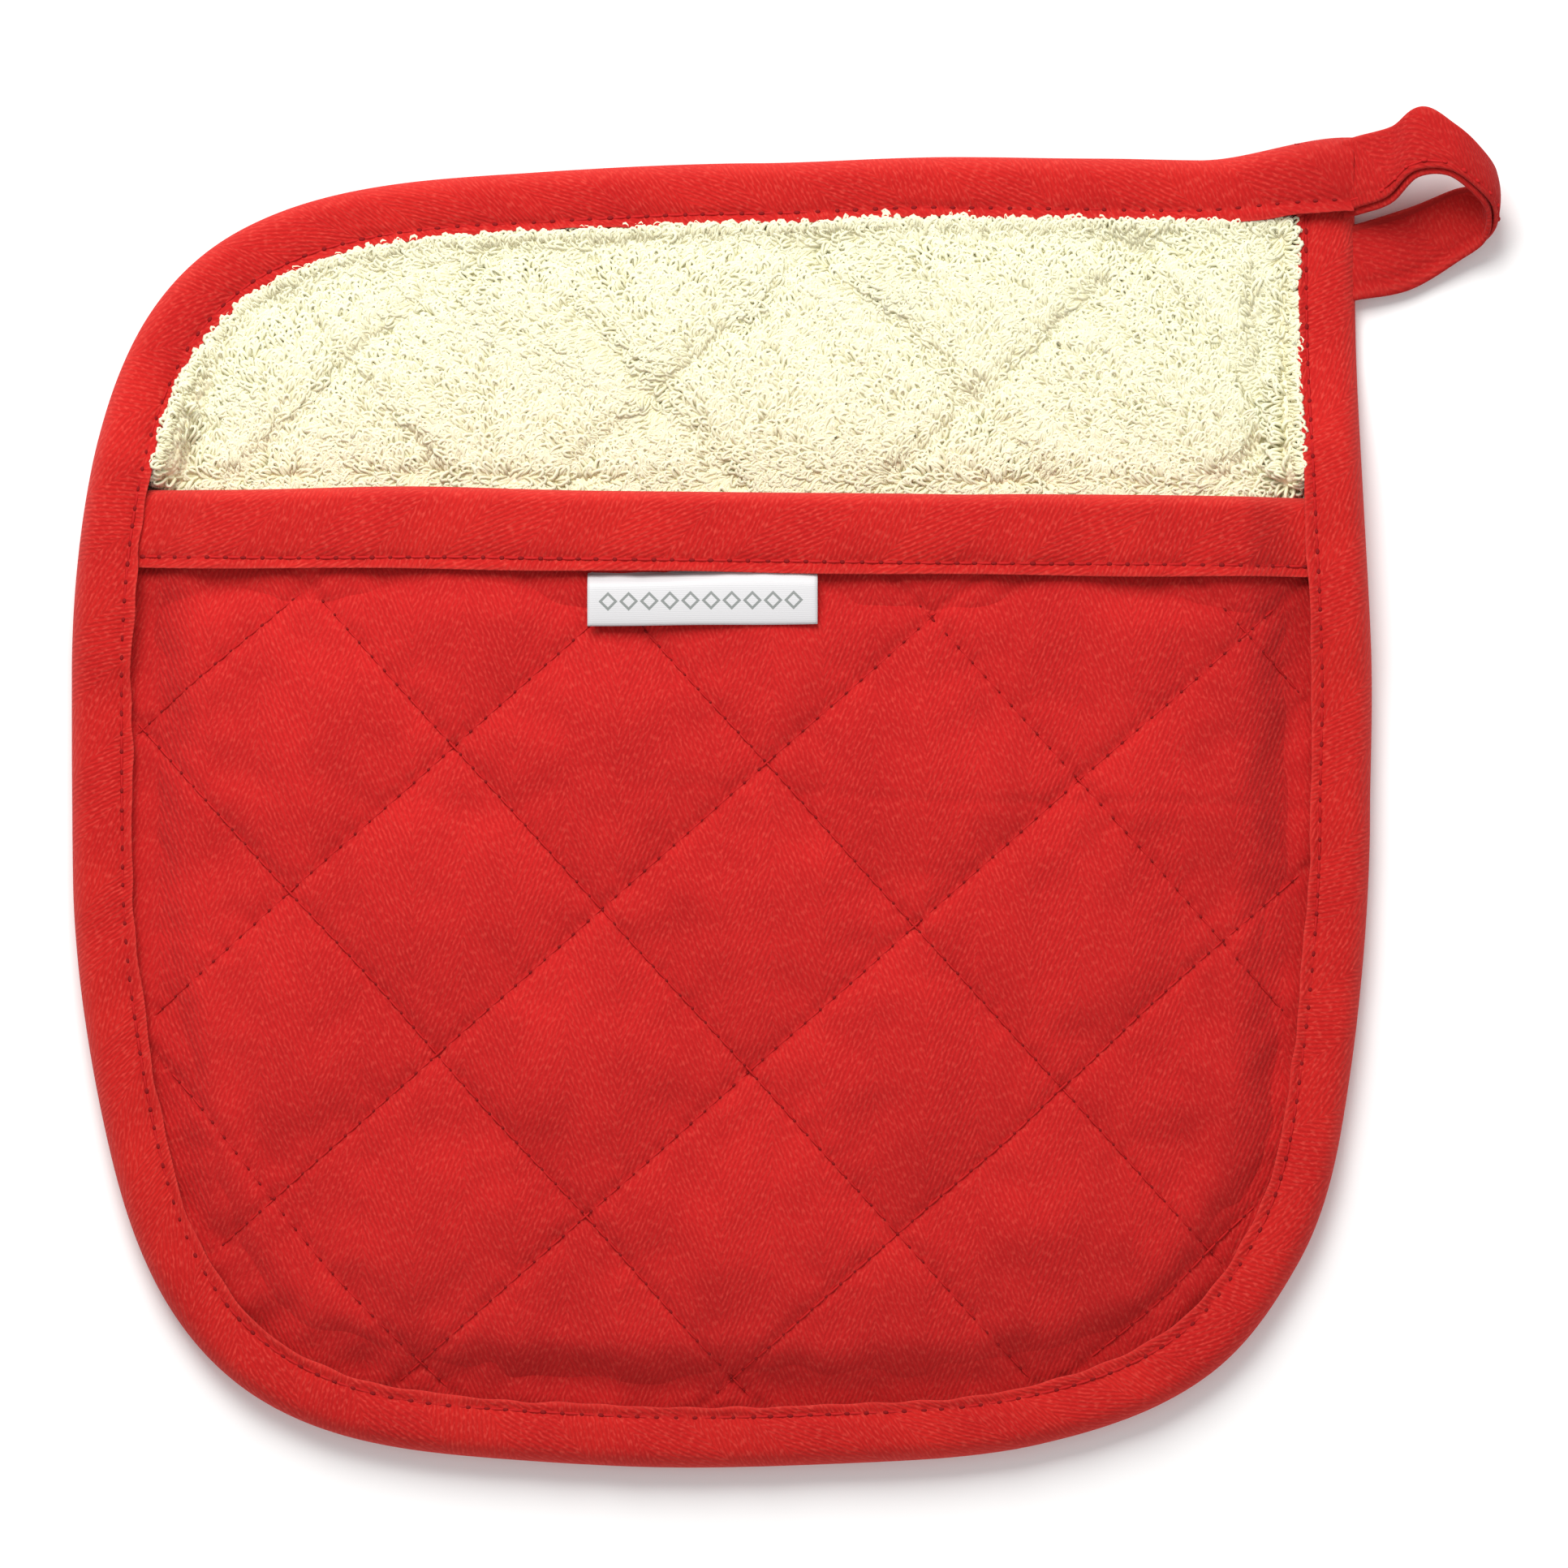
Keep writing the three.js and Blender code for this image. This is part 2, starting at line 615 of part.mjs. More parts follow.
function loopSeamGeometry() {
  const middle = 1 - loopSeamFromEdge;
  const halfShare = threadSize / 22;
  return warpedStrip(unitSquare, 30, (u, v, along) =>
    loopPoint(mix(middle - halfShare, middle + halfShare, u),
      loopThickness / 2 + gap + v * threadSize, mix(0.03, 0.97, along)));
}

// ---------------------------------------------------------------- the mitt

const finishes = {
  twill: { color: 0xc92928, roughness: 0.85 },
  tape: { color: 0xd52f2b, roughness: 0.8 },
  terry: { color: 0xf5f3d1, roughness: 1.0 },
  wadding: { color: 0xf4f4f0, roughness: 1.0 },
  redThread: { color: 0x8e1519, roughness: 0.6 },
  creamThread: { color: 0xe8e0b0, roughness: 0.6 },
  label: { color: 0xf2f1f2, roughness: 0.5 },
};

const mitt = new THREE.Group();

function addPiece(name, geometry, finish) {
  const material = new THREE.MeshStandardMaterial({ ...finishes[finish], metalness: 0 });
  const mesh = new THREE.Mesh(geometry, material);
  mesh.name = name;
  mitt.add(mesh);
}

addPiece('back_shell', backLayer('shell'), 'twill');
addPiece('back_wadding', backLayer('pad'), 'wadding');
addPiece('back_lining', backLiningGeometry(), 'terry');
addPiece('back_quilting_thread', backQuiltingGeometry(), 'creamThread');
addPiece('front_lining', frontLayer('lining'), 'terry');
addPiece('front_wadding', frontLayer('pad'), 'wadding');
addPiece('front_shell', frontLayer('shell'), 'twill');
addPiece('front_quilting_thread', frontQuiltingGeometry(), 'redThread');
addPiece('pocket_binding', pocketBindingGeometry(), 'tape');
addPiece('pocket_seam_thread', pocketSeamGeometry(), 'redThread');
addPiece('edge_binding', edgeBindingGeometry(), 'tape');
addPiece('edge_seam_thread', edgeSeamGeometry(), 'redThread');
addPiece('hanging_loop', loopGeometry(), 'tape');
addPiece('loop_seam_thread', loopSeamGeometry(), 'redThread');
addPiece('label', labelGeometry(), 'label');

export default mitt;
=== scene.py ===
import math

import bpy
import numpy as np
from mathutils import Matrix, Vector


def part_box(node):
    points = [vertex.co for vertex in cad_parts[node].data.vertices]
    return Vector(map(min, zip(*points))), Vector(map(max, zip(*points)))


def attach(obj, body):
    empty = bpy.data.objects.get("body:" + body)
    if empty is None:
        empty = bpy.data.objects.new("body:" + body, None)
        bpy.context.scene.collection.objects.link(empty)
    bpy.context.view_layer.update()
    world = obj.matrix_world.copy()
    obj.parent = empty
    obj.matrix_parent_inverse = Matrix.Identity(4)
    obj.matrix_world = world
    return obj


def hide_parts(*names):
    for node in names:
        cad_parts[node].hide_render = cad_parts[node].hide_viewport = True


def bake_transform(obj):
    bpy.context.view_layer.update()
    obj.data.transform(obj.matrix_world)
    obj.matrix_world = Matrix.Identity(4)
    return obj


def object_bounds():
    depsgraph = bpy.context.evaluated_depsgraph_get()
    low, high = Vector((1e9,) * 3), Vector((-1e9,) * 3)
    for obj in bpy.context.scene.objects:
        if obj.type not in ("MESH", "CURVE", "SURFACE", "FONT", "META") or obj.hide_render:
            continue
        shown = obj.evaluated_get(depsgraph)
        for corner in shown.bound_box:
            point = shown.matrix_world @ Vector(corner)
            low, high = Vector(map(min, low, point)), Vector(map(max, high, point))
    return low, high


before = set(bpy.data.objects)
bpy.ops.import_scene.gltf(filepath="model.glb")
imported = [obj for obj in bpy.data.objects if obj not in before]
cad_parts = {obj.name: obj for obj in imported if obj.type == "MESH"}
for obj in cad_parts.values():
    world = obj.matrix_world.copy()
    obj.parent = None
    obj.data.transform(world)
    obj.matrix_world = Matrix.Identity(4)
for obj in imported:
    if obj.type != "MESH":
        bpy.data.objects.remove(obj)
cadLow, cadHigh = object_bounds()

# A quilted pocket mitt that lies on its back: terry above the pocket's mouth, herringbone twill over
# the pocket, bias tape round both edges, a woven label and a hanging loop of the same tape.
# Lengths are millimetres until a mesh is made. x runs right, y up to the bound top edge, z off the table.

mm = 0.001


# A smooth step from 0 at start to 1 at end: 3 s^2 - 2 s^3.
def ease(start, end, value):
    share = np.clip((value - start) / (end - start), 0, 1)
    return share * share * (3 - 2 * share)


# A straight blend from a to b.
def mix(a, b, share):
    return a + (b - a) * share


# A bell of height 1: e to the minus (value / width) squared.
def bell(value, width):
    return np.exp(-(value / width) ** 2)


# A smooth random field between about -1 and 1: seven sine waves in seeded directions, added up.
def drift(x, y, wavelength, seed):
    pick = np.random.default_rng(seed)
    total = 0
    for _ in range(7):
        turn, phase = pick.uniform(0, 2 * np.pi, 2)
        length = wavelength * pick.uniform(0.7, 1.5)
        total = total + np.sin((x * np.cos(turn) + y * np.sin(turn)) * 2 * np.pi / length + phase)
    return total / 3.5


# Makes a mesh object from points in millimetres and quads, with one more face at each end if it has ends.
# A shell whose volume, the sum of corner . normal, comes out negative is turned over.
def addPiece(name, points, faces, uv=None, tones=None, ends=()):
    corners = points[faces]
    first = np.cross(corners[:, 1] - corners[:, 0], corners[:, 2] - corners[:, 0])
    second = np.cross(corners[:, 2] - corners[:, 0], corners[:, 3] - corners[:, 0])
    turned = -1 if (corners[:, 0] * (first + second)).sum() < 0 else 1
    faces = faces[:, ::turned]
    if len(ends):
        faces = faces.tolist() + [end[::turned] for end in ends]
    mesh = bpy.data.meshes.new(name)
    mesh.from_pydata(points * mm, [], faces)
    mesh.update()
    mesh.polygons.foreach_set("use_smooth", np.ones(len(mesh.polygons), bool))
    if uv is not None:
        loops = np.empty(len(mesh.loops), int)
        mesh.loops.foreach_get("vertex_index", loops)
        layer = mesh.uv_layers.new(name="cloth")
        layer.data.foreach_set("uv", uv[loops].astype(np.float32).ravel())
    for label, values in (tones or {}).items():
        mesh.attributes.new(label, "FLOAT", "POINT").data.foreach_set("value", values.astype(np.float32))
    piece = bpy.data.objects.new(name, mesh)
    bpy.context.scene.collection.objects.link(piece)
    return piece


# Quads over a grid of rows and columns whose last column joins its first; each row is one closed section.
def sleeveFaces(rows, columns):
    row, column = np.meshgrid(np.arange(rows - 1), np.arange(columns), indexing="ij")
    after = (column + 1) % columns
    quads = np.stack([row * columns + column, row * columns + after,
                      (row + 1) * columns + after, (row + 1) * columns + column], -1)
    return quads.reshape(-1, 4)


# Faces of many alike tubes, each of rows x sides points and closed by flat fans of quads at both ends.
def tubeFaces(count, rows, sides):
    cap = np.array([[0, k, k + 1, k + 2] for k in range(1, sides - 1, 2)])
    single = np.concatenate([sleeveFaces(rows, sides), cap[:, ::-1], cap + (rows - 1) * sides])
    return (np.arange(count)[:, None, None] * rows * sides + single).reshape(-1, 4)


# A strip carried along a path: sections is rows x columns x 3, and both ends are closed by one face each.
def addStrip(name, sections, uv, tones):
    rows, columns = sections.shape[:2]
    ends = list(range(columns)), list(range((rows - 1) * columns, rows * columns))[::-1]
    flat = {key: np.broadcast_to(value, (rows, columns)).ravel() for key, value in tones.items()}
    return addPiece(name, sections.reshape(-1, 3), sleeveFaces(rows, columns), uv.reshape(-1, 2), flat, ends)


# A slab over the cells of a grid that a test keeps: upper and lower faces, and a wall round their border.
def slabFaces(keep):
    rows, columns = keep.shape
    cells = keep[:-1, :-1] & keep[1:, :-1] & keep[:-1, 1:] & keep[1:, 1:]
    row, column = np.nonzero(cells)
    corner = row * columns + column
    upper = np.stack([corner, corner + columns, corner + columns + 1, corner + 1], -1)
    edges = np.concatenate([upper[:, [k, (k + 1) % 4]] for k in range(4)])
    _, index, uses = np.unique(np.sort(edges, 1), axis=0, return_index=True, return_counts=True)
    border = edges[index[uses == 1]]
    lower = upper[:, ::-1] + rows * columns
    under = border + rows * columns
    wall = np.stack([border[:, 1], border[:, 0], under[:, 0], under[:, 1]], -1)
    faces = np.concatenate([upper, lower, wall])
    used, faces = np.unique(faces, return_inverse=True)
    return used, faces.reshape(-1, 4)


# Replaces a piece's mesh by the one that its modifiers make, and drops the modifiers.
def bakeModifiers(piece):
    graph = bpy.context.evaluated_depsgraph_get()
    mesh = bpy.data.meshes.new_from_object(piece.evaluated_get(graph))
    piece.modifiers.clear()
    piece.data = mesh
    mesh.name = piece.name


# A piece's points in millimetres.
def pointsOf(piece):
    points = np.empty(len(piece.data.vertices) * 3, np.float32)
    piece.data.vertices.foreach_get("co", points)
    return points.reshape(-1, 3).astype(float) / mm


# Puts a piece's points back, from millimetres.
def setPoints(piece, points):
    piece.data.vertices.foreach_set("co", (points * mm).astype(np.float32).ravel())
    piece.data.update()


bindLow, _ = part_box("edge_binding")
outline = {
    "halfWidth": -bindLow[0] / mm,
    "halfLength": -bindLow[1] / mm,
    "crownRight": 5, "crownTop": 25, "crownLeft": 10, "crownBottom": -5,  # where each side bulges most
    "squareness": [160, 3.8, 3.3, 3.35],  # superellipse exponents from the loop's corner, going round
    "softening": 0.7,  # how fast a rounded corner squares up further in
    "lean": 2.8,  # the right side leans in towards the loop's corner
    "lift": 3.2, "liftWide": (27, 4), "liftHigh": (24, 8),  # the loop pulls its corner up
}
cloth = {
    "twill": 0.6, "tape": 0.7, "gap": 0.3,
    "edgeLeg": 9.6, "backLeg": 10.2, "pocketLeg": 12.5,
    "pressed": 10.9, "full": 20.0,  # insets where the padding is flat under the tape, and where it is full
    "rimBack": 3.2, "fullBack": 5.7,  # top of the back lining at the rim and in the middle
    "rimFront": 2.2, "fullFront": 5.7,  # thickness of the pocket panel there
    "mouthFullness": 0.35, "bandRoom": 1.0,
    "mouthFromTop": 52.15, "mouthSlope": 0.0115, "gape": 9.0, "gapeSquareness": 2.6,
}
mouthY = outline["halfLength"] - cloth["mouthFromTop"]
halfWidth, halfLength = outline["halfWidth"], outline["halfLength"]

centreX = [outline["crownTop"], outline["crownTop"], outline["crownBottom"], outline["crownBottom"]]
centreY = [outline["crownRight"], outline["crownLeft"], outline["crownLeft"], outline["crownRight"]]
signX, signY = [1, -1, -1, 1], [1, 1, -1, -1]
quarters = np.array([
    [centreX[k], centreY[k], halfWidth - signX[k] * centreX[k], halfLength - signY[k] * centreY[k],
     outline["squareness"][k]] for k in range(4)])


# A rounded corner's exponent grows with the inset; the square one keeps its own.
def exponentAt(n, inset, a, b):
    return np.where(n < 8, n * (1 + outline["softening"] * inset / np.minimum(a, b)), n)


# The lean grows in a straight line with x, and with a smooth step up the right side.
def leanAt(x, y):
    share = np.clip((x - outline["crownTop"]) / (halfWidth - outline["crownTop"]), 0, 1)
    start = outline["crownRight"]
    return outline["lean"] * share * ease(start, mix(start, halfLength, 0.8), y)


# The lift is a smooth step in x times one in y, and is less under the inner edge of the tape.
def liftAt(x, y, inset):
    nearX = ease(halfWidth - outline["liftWide"][0], halfWidth - outline["liftWide"][1], x)
    nearY = ease(halfLength - outline["liftHigh"][0], halfLength - outline["liftHigh"][1], y)
    return outline["lift"] * nearX * nearY * (1 - 0.7 * np.clip(inset / cloth["edgeLeg"], 0, 1))


# A quarter superellipse: centre + (a - inset, b - inset) times the unit direction over its n-norm.
# turn grows by 1 a quarter, from the right crown over the loop's corner.
def outlinePoint(turn, inset):
    turn, inset = np.broadcast_arrays(np.asarray(turn, float) % 4, np.asarray(inset, float))
    x0, y0, a, b, n = (quarters[turn.astype(int), k] for k in range(5))
    across, along = np.cos(turn * np.pi / 2), np.sin(turn * np.pi / 2)
    n = exponentAt(n, inset, a, b)
    reach = (np.abs(across) ** n + np.abs(along) ** n) ** (-1 / n)
    x = x0 + (a - inset) * across * reach
    y = y0 + (b - inset) * along * reach
    return x - leanAt(x, y), y + liftAt(x, y, inset)


# How far inside the outline a point lies, by halving the interval.
def insetAt(x, y):
    upper = y > np.where(x > 0, outline["crownRight"], outline["crownLeft"])
    right = x > np.where(upper, outline["crownTop"], outline["crownBottom"])
    which = np.where(upper, np.where(right, 0, 1), np.where(right, 3, 2))
    x0, y0, a, b, n = (quarters[which, k] for k in range(5))
    dx, dy = np.abs(x + leanAt(x, y) - x0), np.abs(y - y0)
    low, high = np.full(np.shape(x), -10.0), np.minimum(a, b) - 1
    for _ in range(26):
        middle = (low + high) / 2
        power = exponentAt(n, middle, a, b)
        outside = (dx / (a - middle)) ** power + (dy / (b - middle)) ** power > 1
        low, high = np.where(outside, low, middle), np.where(outside, middle, high)
    return (low + high) / 2


# How far a point lies below the mouth's slightly sloping edge.
def belowMouth(x, y):
    return mouthY - cloth["mouthSlope"] * x - y


# The pocket's gape: 1 - rho^2, where rho is a superellipse's distance from the middle of the mouth. It is
# highest there, and nothing along the sewn sides.
def gapeAt(x, y, inset):
    across = np.abs(x) / (halfWidth - cloth["pressed"])
    down = np.maximum(0, belowMouth(x, y)) / (mouthY + halfLength - cloth["pressed"])
    power = cloth["gapeSquareness"]
    rho = (across ** power + down ** power) ** (1 / power)
    return cloth["gape"] * np.maximum(0, 1 - rho ** 2) * ease(cloth["pressed"], cloth["full"], inset)


# Top of the back lining: a smooth step up from the rim.
def backTop(inset):
    return mix(cloth["rimBack"], cloth["fullBack"], ease(cloth["pressed"] - 2, cloth["full"], inset))


# Underside and upper side of the whole pocket panel, terry to twill.
def frontLevels(x, y):
    inset = insetAt(x, y)
    released = ease(cloth["pocketLeg"] + 0.5, cloth["pocketLeg"] + 9, belowMouth(x, y))
    side = ease(cloth["pressed"] - 1, cloth["full"], inset)
    fullness = side * mix(cloth["mouthFullness"], 1, released)
    under = backTop(inset) + cloth["gap"] + cloth["bandRoom"] * (1 - released) + gapeAt(x, y, inset)
    return under, under + mix(cloth["rimFront"], cloth["fullFront"], fullness)


quilting = {
    "spacing": 34.2,
    "falling": -47.7, "rising": 41.5,  # the two directions, in degrees from x
    "frontPhase": (10.5, 1.2), "backPhase": (2.8, -13.7),  # offset of the lines nearest to the middle
    "cells": 12,  # grid cells from one line to the next
    "pitch": 3.0,  # stitch length
}
quiltAngles = np.radians([quilting["falling"], quilting["rising"]])
quiltNormals = np.stack([-np.sin(quiltAngles), np.cos(quiltAngles)], -1)


# Distance of points from the nearest line of each direction, signed, and the place along that line.
def quiltDistance(x, y, phase):
    offset = np.stack([x * n[0] + y * n[1] for n in quiltNormals])
    along = np.stack([x * n[1] - y * n[0] for n in quiltNormals])
    spacing = quilting["spacing"]
    shifted = offset - np.reshape(phase, (2, *[1] * np.ndim(x))) + spacing / 2
    return shifted % spacing - spacing / 2, along


# A grid whose lines run along the quilting, so that both stitched directions fall on grid lines.
def quiltGrid(phase):
    step = quilting["spacing"] / quilting["cells"]
    count = int(1.5 * halfLength / step)
    index = np.arange(-count, count + 1)
    i, j = np.meshgrid(index, index, indexing="ij")
    offsets = np.stack([phase[0] + i * step, phase[1] + j * step], -1)
    plan = offsets @ np.linalg.inv(quiltNormals).T
    onLine = (i % quilting["cells"] == 0) | (j % quilting["cells"] == 0)
    return plan[..., 0], plan[..., 1], onLine


# Swells a closed slab by cloth simulation: pressure inside, held at its pinned points.
def puffUp(piece, pinned, pad):
    group = piece.vertex_groups.new(name="pinned")
    group.add(np.nonzero(pinned)[0].tolist(), 1.0, "REPLACE")
    start = pointsOf(piece)
    modifier = piece.modifiers.new("Cloth", "CLOTH")
    settings = modifier.settings
    settings.quality = 5
    settings.mass = 0.02
    settings.tension_stiffness = pad["stiffness"]
    settings.compression_stiffness = pad["stiffness"]
    settings.shear_stiffness = pad["stiffness"] / 3
    settings.bending_stiffness = 0.3
    settings.shrink_min = -pad["slack"]
    settings.use_pressure = True
    settings.uniform_pressure_force = pad["pressure"]
    settings.vertex_group_mass = "pinned"
    settings.effector_weights.gravity = 0
    modifier.collision_settings.use_collision = False
    modifier.point_cache.frame_start = 1
    modifier.point_cache.frame_end = 20
    scene = bpy.context.scene
    for frameNumber in range(1, 21):
        scene.frame_set(frameNumber)
    graph = bpy.context.evaluated_depsgraph_get()
    swollen = np.empty(len(start) * 3, np.float32)
    piece.evaluated_get(graph).data.vertices.foreach_get("co", swollen)
    move = swollen.reshape(-1, 3) / mm - start
    length = np.linalg.norm(move, axis=1, keepdims=True)
    move *= np.minimum(1, pad["cap"] / np.maximum(length, 1e-9))
    piece.modifiers.clear()
    scene.frame_set(1)
    setPoints(piece, start + move)
    print(f"{piece.name}: swelled by up to {min(length.max(), pad['cap']):.1f} mm")


# Builds one panel as a pad: a slab on the quilting grid, swollen between its lines and smoothed.
def addPad(name, keep, levels, pad):
    x, y, onLine = quiltGrid(pad["phase"])
    kept = keep(x, y)
    low, high = levels(x, y)
    slack = pad["valley"]
    points = np.concatenate([np.stack([x, y, high - slack], -1).reshape(-1, 3),
                             np.stack([x, y, low + slack * pad["lowerShare"]], -1).reshape(-1, 3)])
    used, faces = slabFaces(kept)
    points = points[used]
    pinned = np.concatenate([onLine.ravel(), onLine.ravel()])[used]
    sides = used[faces] < x.size
    walls = sides.any(1) & ~sides.all(1)  # a wall face joins upper points to lower ones
    border = np.zeros(len(used), bool)
    border[faces[walls].ravel()] = True
    piece = addPiece(name, points, faces)
    puffUp(piece, pinned | border, pad)
    subdivide = piece.modifiers.new("Subdivision", "SUBSURF")
    subdivide.levels = subdivide.render_levels = 2
    bakeModifiers(piece)
    return piece


stitching = {
    "valley": 0.9, "beat": 0.25,  # half width of the valley, and how much each stitch deepens it
    "pucker": 0.16, "puckerAt": 1.6, "puckerWide": 1.5, "puckerLong": 4.5,
}


# How far stitching draws the cloth down: a bell across the line, deeper where each stitch goes in, less
# a second bell beside it that a random field breaks into short puckers.
def stitchDip(x, y, depth, phase):
    distance, along = quiltDistance(x, y, phase)
    total = 0
    for k in range(2):
        beat = np.cos(2 * np.pi * along[k] / quilting["pitch"])
        valley = bell(distance[k], stitching["valley"]) * (1 - stitching["beat"] + stitching["beat"] * beat)
        across = 0.4 * (x * quiltNormals[k][0] + y * quiltNormals[k][1])
        broken = drift(along[k], across, stitching["puckerLong"], 31 + k)
        beside = bell(np.abs(distance[k]) - stitching["puckerAt"], stitching["puckerWide"])
        total = total + valley - stitching["pucker"] * beside * broken
    return depth * total


# valley: how much lower than its full height a panel starts, lowerShare: how much of that its underside has,
# cap: the furthest that a point may swell.
frontPadSpec = {
    "phase": quilting["frontPhase"],
    "valley": 1.9, "lowerShare": 0.3, "quickPuff": 1.9, "dip": 0.55,
    "pressure": 6.0, "stiffness": 12, "slack": 0.012, "cap": 2.6, "fill": 0.5,
}
backPadSpec = {
    "phase": quilting["backPhase"],
    "valley": 0.8, "lowerShare": 1.0, "quickPuff": 0.8, "dip": 0.35,
    "pressure": 4.0, "stiffness": 12, "slack": 0.008, "cap": 1.2, "fill": 0.5,
}
hidden = {"edge": 3.4, "mouth": 2.6}  # how far the panels' cut edges lie inside the tapes


# Where the pocket panel is cloth, and its levels: from the top of its terry to the top of its twill.
def frontPadKeep(x, y):
    return (insetAt(x, y) > hidden["edge"]) & (belowMouth(x, y) > hidden["mouth"])


# The pocket panel's terry: 0.6 mm thick under the edge tape and 2 mm further in.
def liningDepth(x, y):
    return mix(0.6, 2.0, ease(cloth["pressed"], cloth["full"], insetAt(x, y)))


def frontPadLevels(x, y):
    under, top = frontLevels(x, y)
    return under + liningDepth(x, y) + cloth["gap"], top


# Wrinkles of the outer cloth, in millimetres: puckers about 9 apart along the sewn rim, deepest at the lower
# corners, soft waves 38 and 15 long in the middle, and one pressed crease that runs across from an old fold.
def addWrinkles(x, y):
    inset = insetAt(x, y)
    aroundRim = np.arctan2(y + 20, x) * 95
    corner = ease(35, 85, -y) * ease(30, 80, np.abs(x))
    rim = bell(inset - 11, 6) * (0.12 + 0.5 * corner) * drift(aroundRim, inset * 0.3, 9, 5)
    wave = 0.22 * drift(x, y * 0.6, 38, 8) + 0.10 * drift(x, y, 15, 9)
    crease = -0.22 * bell(y - 3.5 + 0.03 * x - 0.6 * drift(x, 0 * y, 60, 3), 0.8) * ease(-40, 60, x)
    return rim + wave * ease(9, 20, inset) + crease


print("front panel")
frontPad = addPad("front_pad", frontPadKeep, frontPadLevels, frontPadSpec)
points = pointsOf(frontPad)
frontUnder, frontTop = frontLevels(points[:, 0], points[:, 1])
isUpper = ease(0.35, 0.6, (points[:, 2] - frontUnder) / (frontTop - frontUnder))
showing = isUpper * ease(9, 11.5, belowMouth(points[:, 0], points[:, 1]))
points[:, 2] -= showing * stitchDip(points[:, 0], points[:, 1], frontPadSpec["dip"], frontPadSpec["phase"])
points[:, 2] += showing * addWrinkles(points[:, 0], points[:, 1])
setPoints(frontPad, points)


# Height of the finished panel under any point: mesh points are shared out over a grid by their nearness to
# its corners, and a value between four corners is their weighted mean.
def heightField(piece, cell=0.8):
    cloud = pointsOf(piece)
    normals = np.empty(len(cloud) * 3, np.float32)
    piece.data.vertices.foreach_get("normal", normals)
    cloud = cloud[normals.reshape(-1, 3)[:, 2] > 0.2]
    low = cloud[:, :2].min(0) - 2 * cell
    size = np.ceil((cloud[:, :2].max(0) + 2 * cell - low) / cell).astype(int) + 1
    total, weight = np.zeros(size), np.zeros(size)
    place = (cloud[:, :2] - low) / cell
    whole = np.floor(place).astype(int)
    part = place - whole
    for i in (0, 1):
        for j in (0, 1):
            share = np.abs(1 - i - part[:, 0]) * np.abs(1 - j - part[:, 1])
            np.add.at(total, (whole[:, 0] + i, whole[:, 1] + j), share * cloud[:, 2])
            np.add.at(weight, (whole[:, 0] + i, whole[:, 1] + j), share)
    grid = total / np.maximum(weight, 1e-6)

    def height(x, y):
        at = (np.stack([x, y], -1) - low) / cell
        at = np.clip(at, 0, size - 1.001)
        base = at.astype(int)
        rest = at - base
        value = 0
        for i in (0, 1):
            for j in (0, 1):
                share = np.abs(1 - i - rest[..., 0]) * np.abs(1 - j - rest[..., 1])
                value = value + share * grid[base[..., 0] + i, base[..., 1] + j]
        return value
    return height


frontHeight = heightField(frontPad)


terry = {
    "base": 1.1,  # from the top of the lining down to the ground weave between the loops
    "cell": 1.4,
    "density": 1.9,  # loops to a square millimetre
    "yarn": 0.29,  # radius of the loop yarn
    "length": (1.5, 2.6), "width": (0.6, 1.1), "rise": (0.3, 0.75),
    "segments": 6, "sides": 4,
    "inside": 15,  # how far below the mouth loops are made
    "pieces": 8,
}


# The edge tape's front leg, over the layers that it covers: distance below the mouth, and height.
leg = {"below": [-24, -5, 15.5, 34], "height": [3.5, 8.0, 8.0, 6.0]}


# Its underside: the first height, plus each next step in height times a smooth step.
def legUnderside(below):
    height = leg["height"][0]
    for k in range(3):
        step = leg["height"][k + 1] - leg["height"][k]
        height = height + step * ease(leg["below"][k], leg["below"][k + 1], below)
    return height


# The ground of the back lining rides on the pad and sinks a little along its quilting.
def backGround(x, y):
    inset = insetAt(x, y)
    distance, _ = quiltDistance(x, y, quilting["backPhase"])
    valley = 0.7 * (bell(distance[0], 2.0) + bell(distance[1], 2.0)) * ease(10, 16, inset)
    swell = 0.3 * drift(x, y, 26, 21) * ease(8, 16, inset)
    below = belowMouth(x, y)
    climb = (legUnderside(below) - leg["height"][0] + 1.5) * ease(15.5, 10.6, inset) * ease(9.2, 10.4, inset)
    towardsTape = climb * ease(0.5, -4, below)
    return backTop(inset) - terry["base"] - valley + swell + towardsTape


# Where the back panel is cloth, and its levels: it rises a little from the table under the edge tape.
def backPadKeep(x, y):
    return insetAt(x, y) > hidden["edge"]


def backPadLevels(x, y):
    inset = insetAt(x, y)
    low = 1.0 * (1 - ease(cloth["pressed"], cloth["pressed"] + 3, inset))
    return low, mix(2.3, 3.4, ease(cloth["pressed"], cloth["full"], inset))


print("back panel")
backPad = addPad("back_pad", backPadKeep, backPadLevels, backPadSpec)
points = pointsOf(backPad)
isLower = ease(2.2, 1.6, points[:, 2])
points[:, 2] += isLower * stitchDip(points[:, 0], points[:, 1], backPadSpec["dip"], backPadSpec["phase"])
points[:, 2] = np.clip(points[:, 2], 0.04, backGround(points[:, 0], points[:, 1]) - 0.75)
setPoints(backPad, points)


# A sheet on a square grid between two levels.
def addSheet(name, keep, levels, cell):
    steps = np.arange(-math.ceil(halfLength / cell), math.ceil(halfLength / cell) + 1) * cell
    x, y = np.meshgrid(steps, steps, indexing="ij")
    low, high = levels(x, y)
    points = np.stack([np.stack([x, y, level], -1) for level in (high, low)]).reshape(-1, 3)
    used, faces = slabFaces(keep(x, y))
    return addPiece(name, points[used], faces)


# The ground weave of each lining: 0.5 mm on the back, and within the pocket panel's terry in front.
def backLiningLevels(x, y):
    ground = backGround(x, y)
    return ground - 0.5, ground


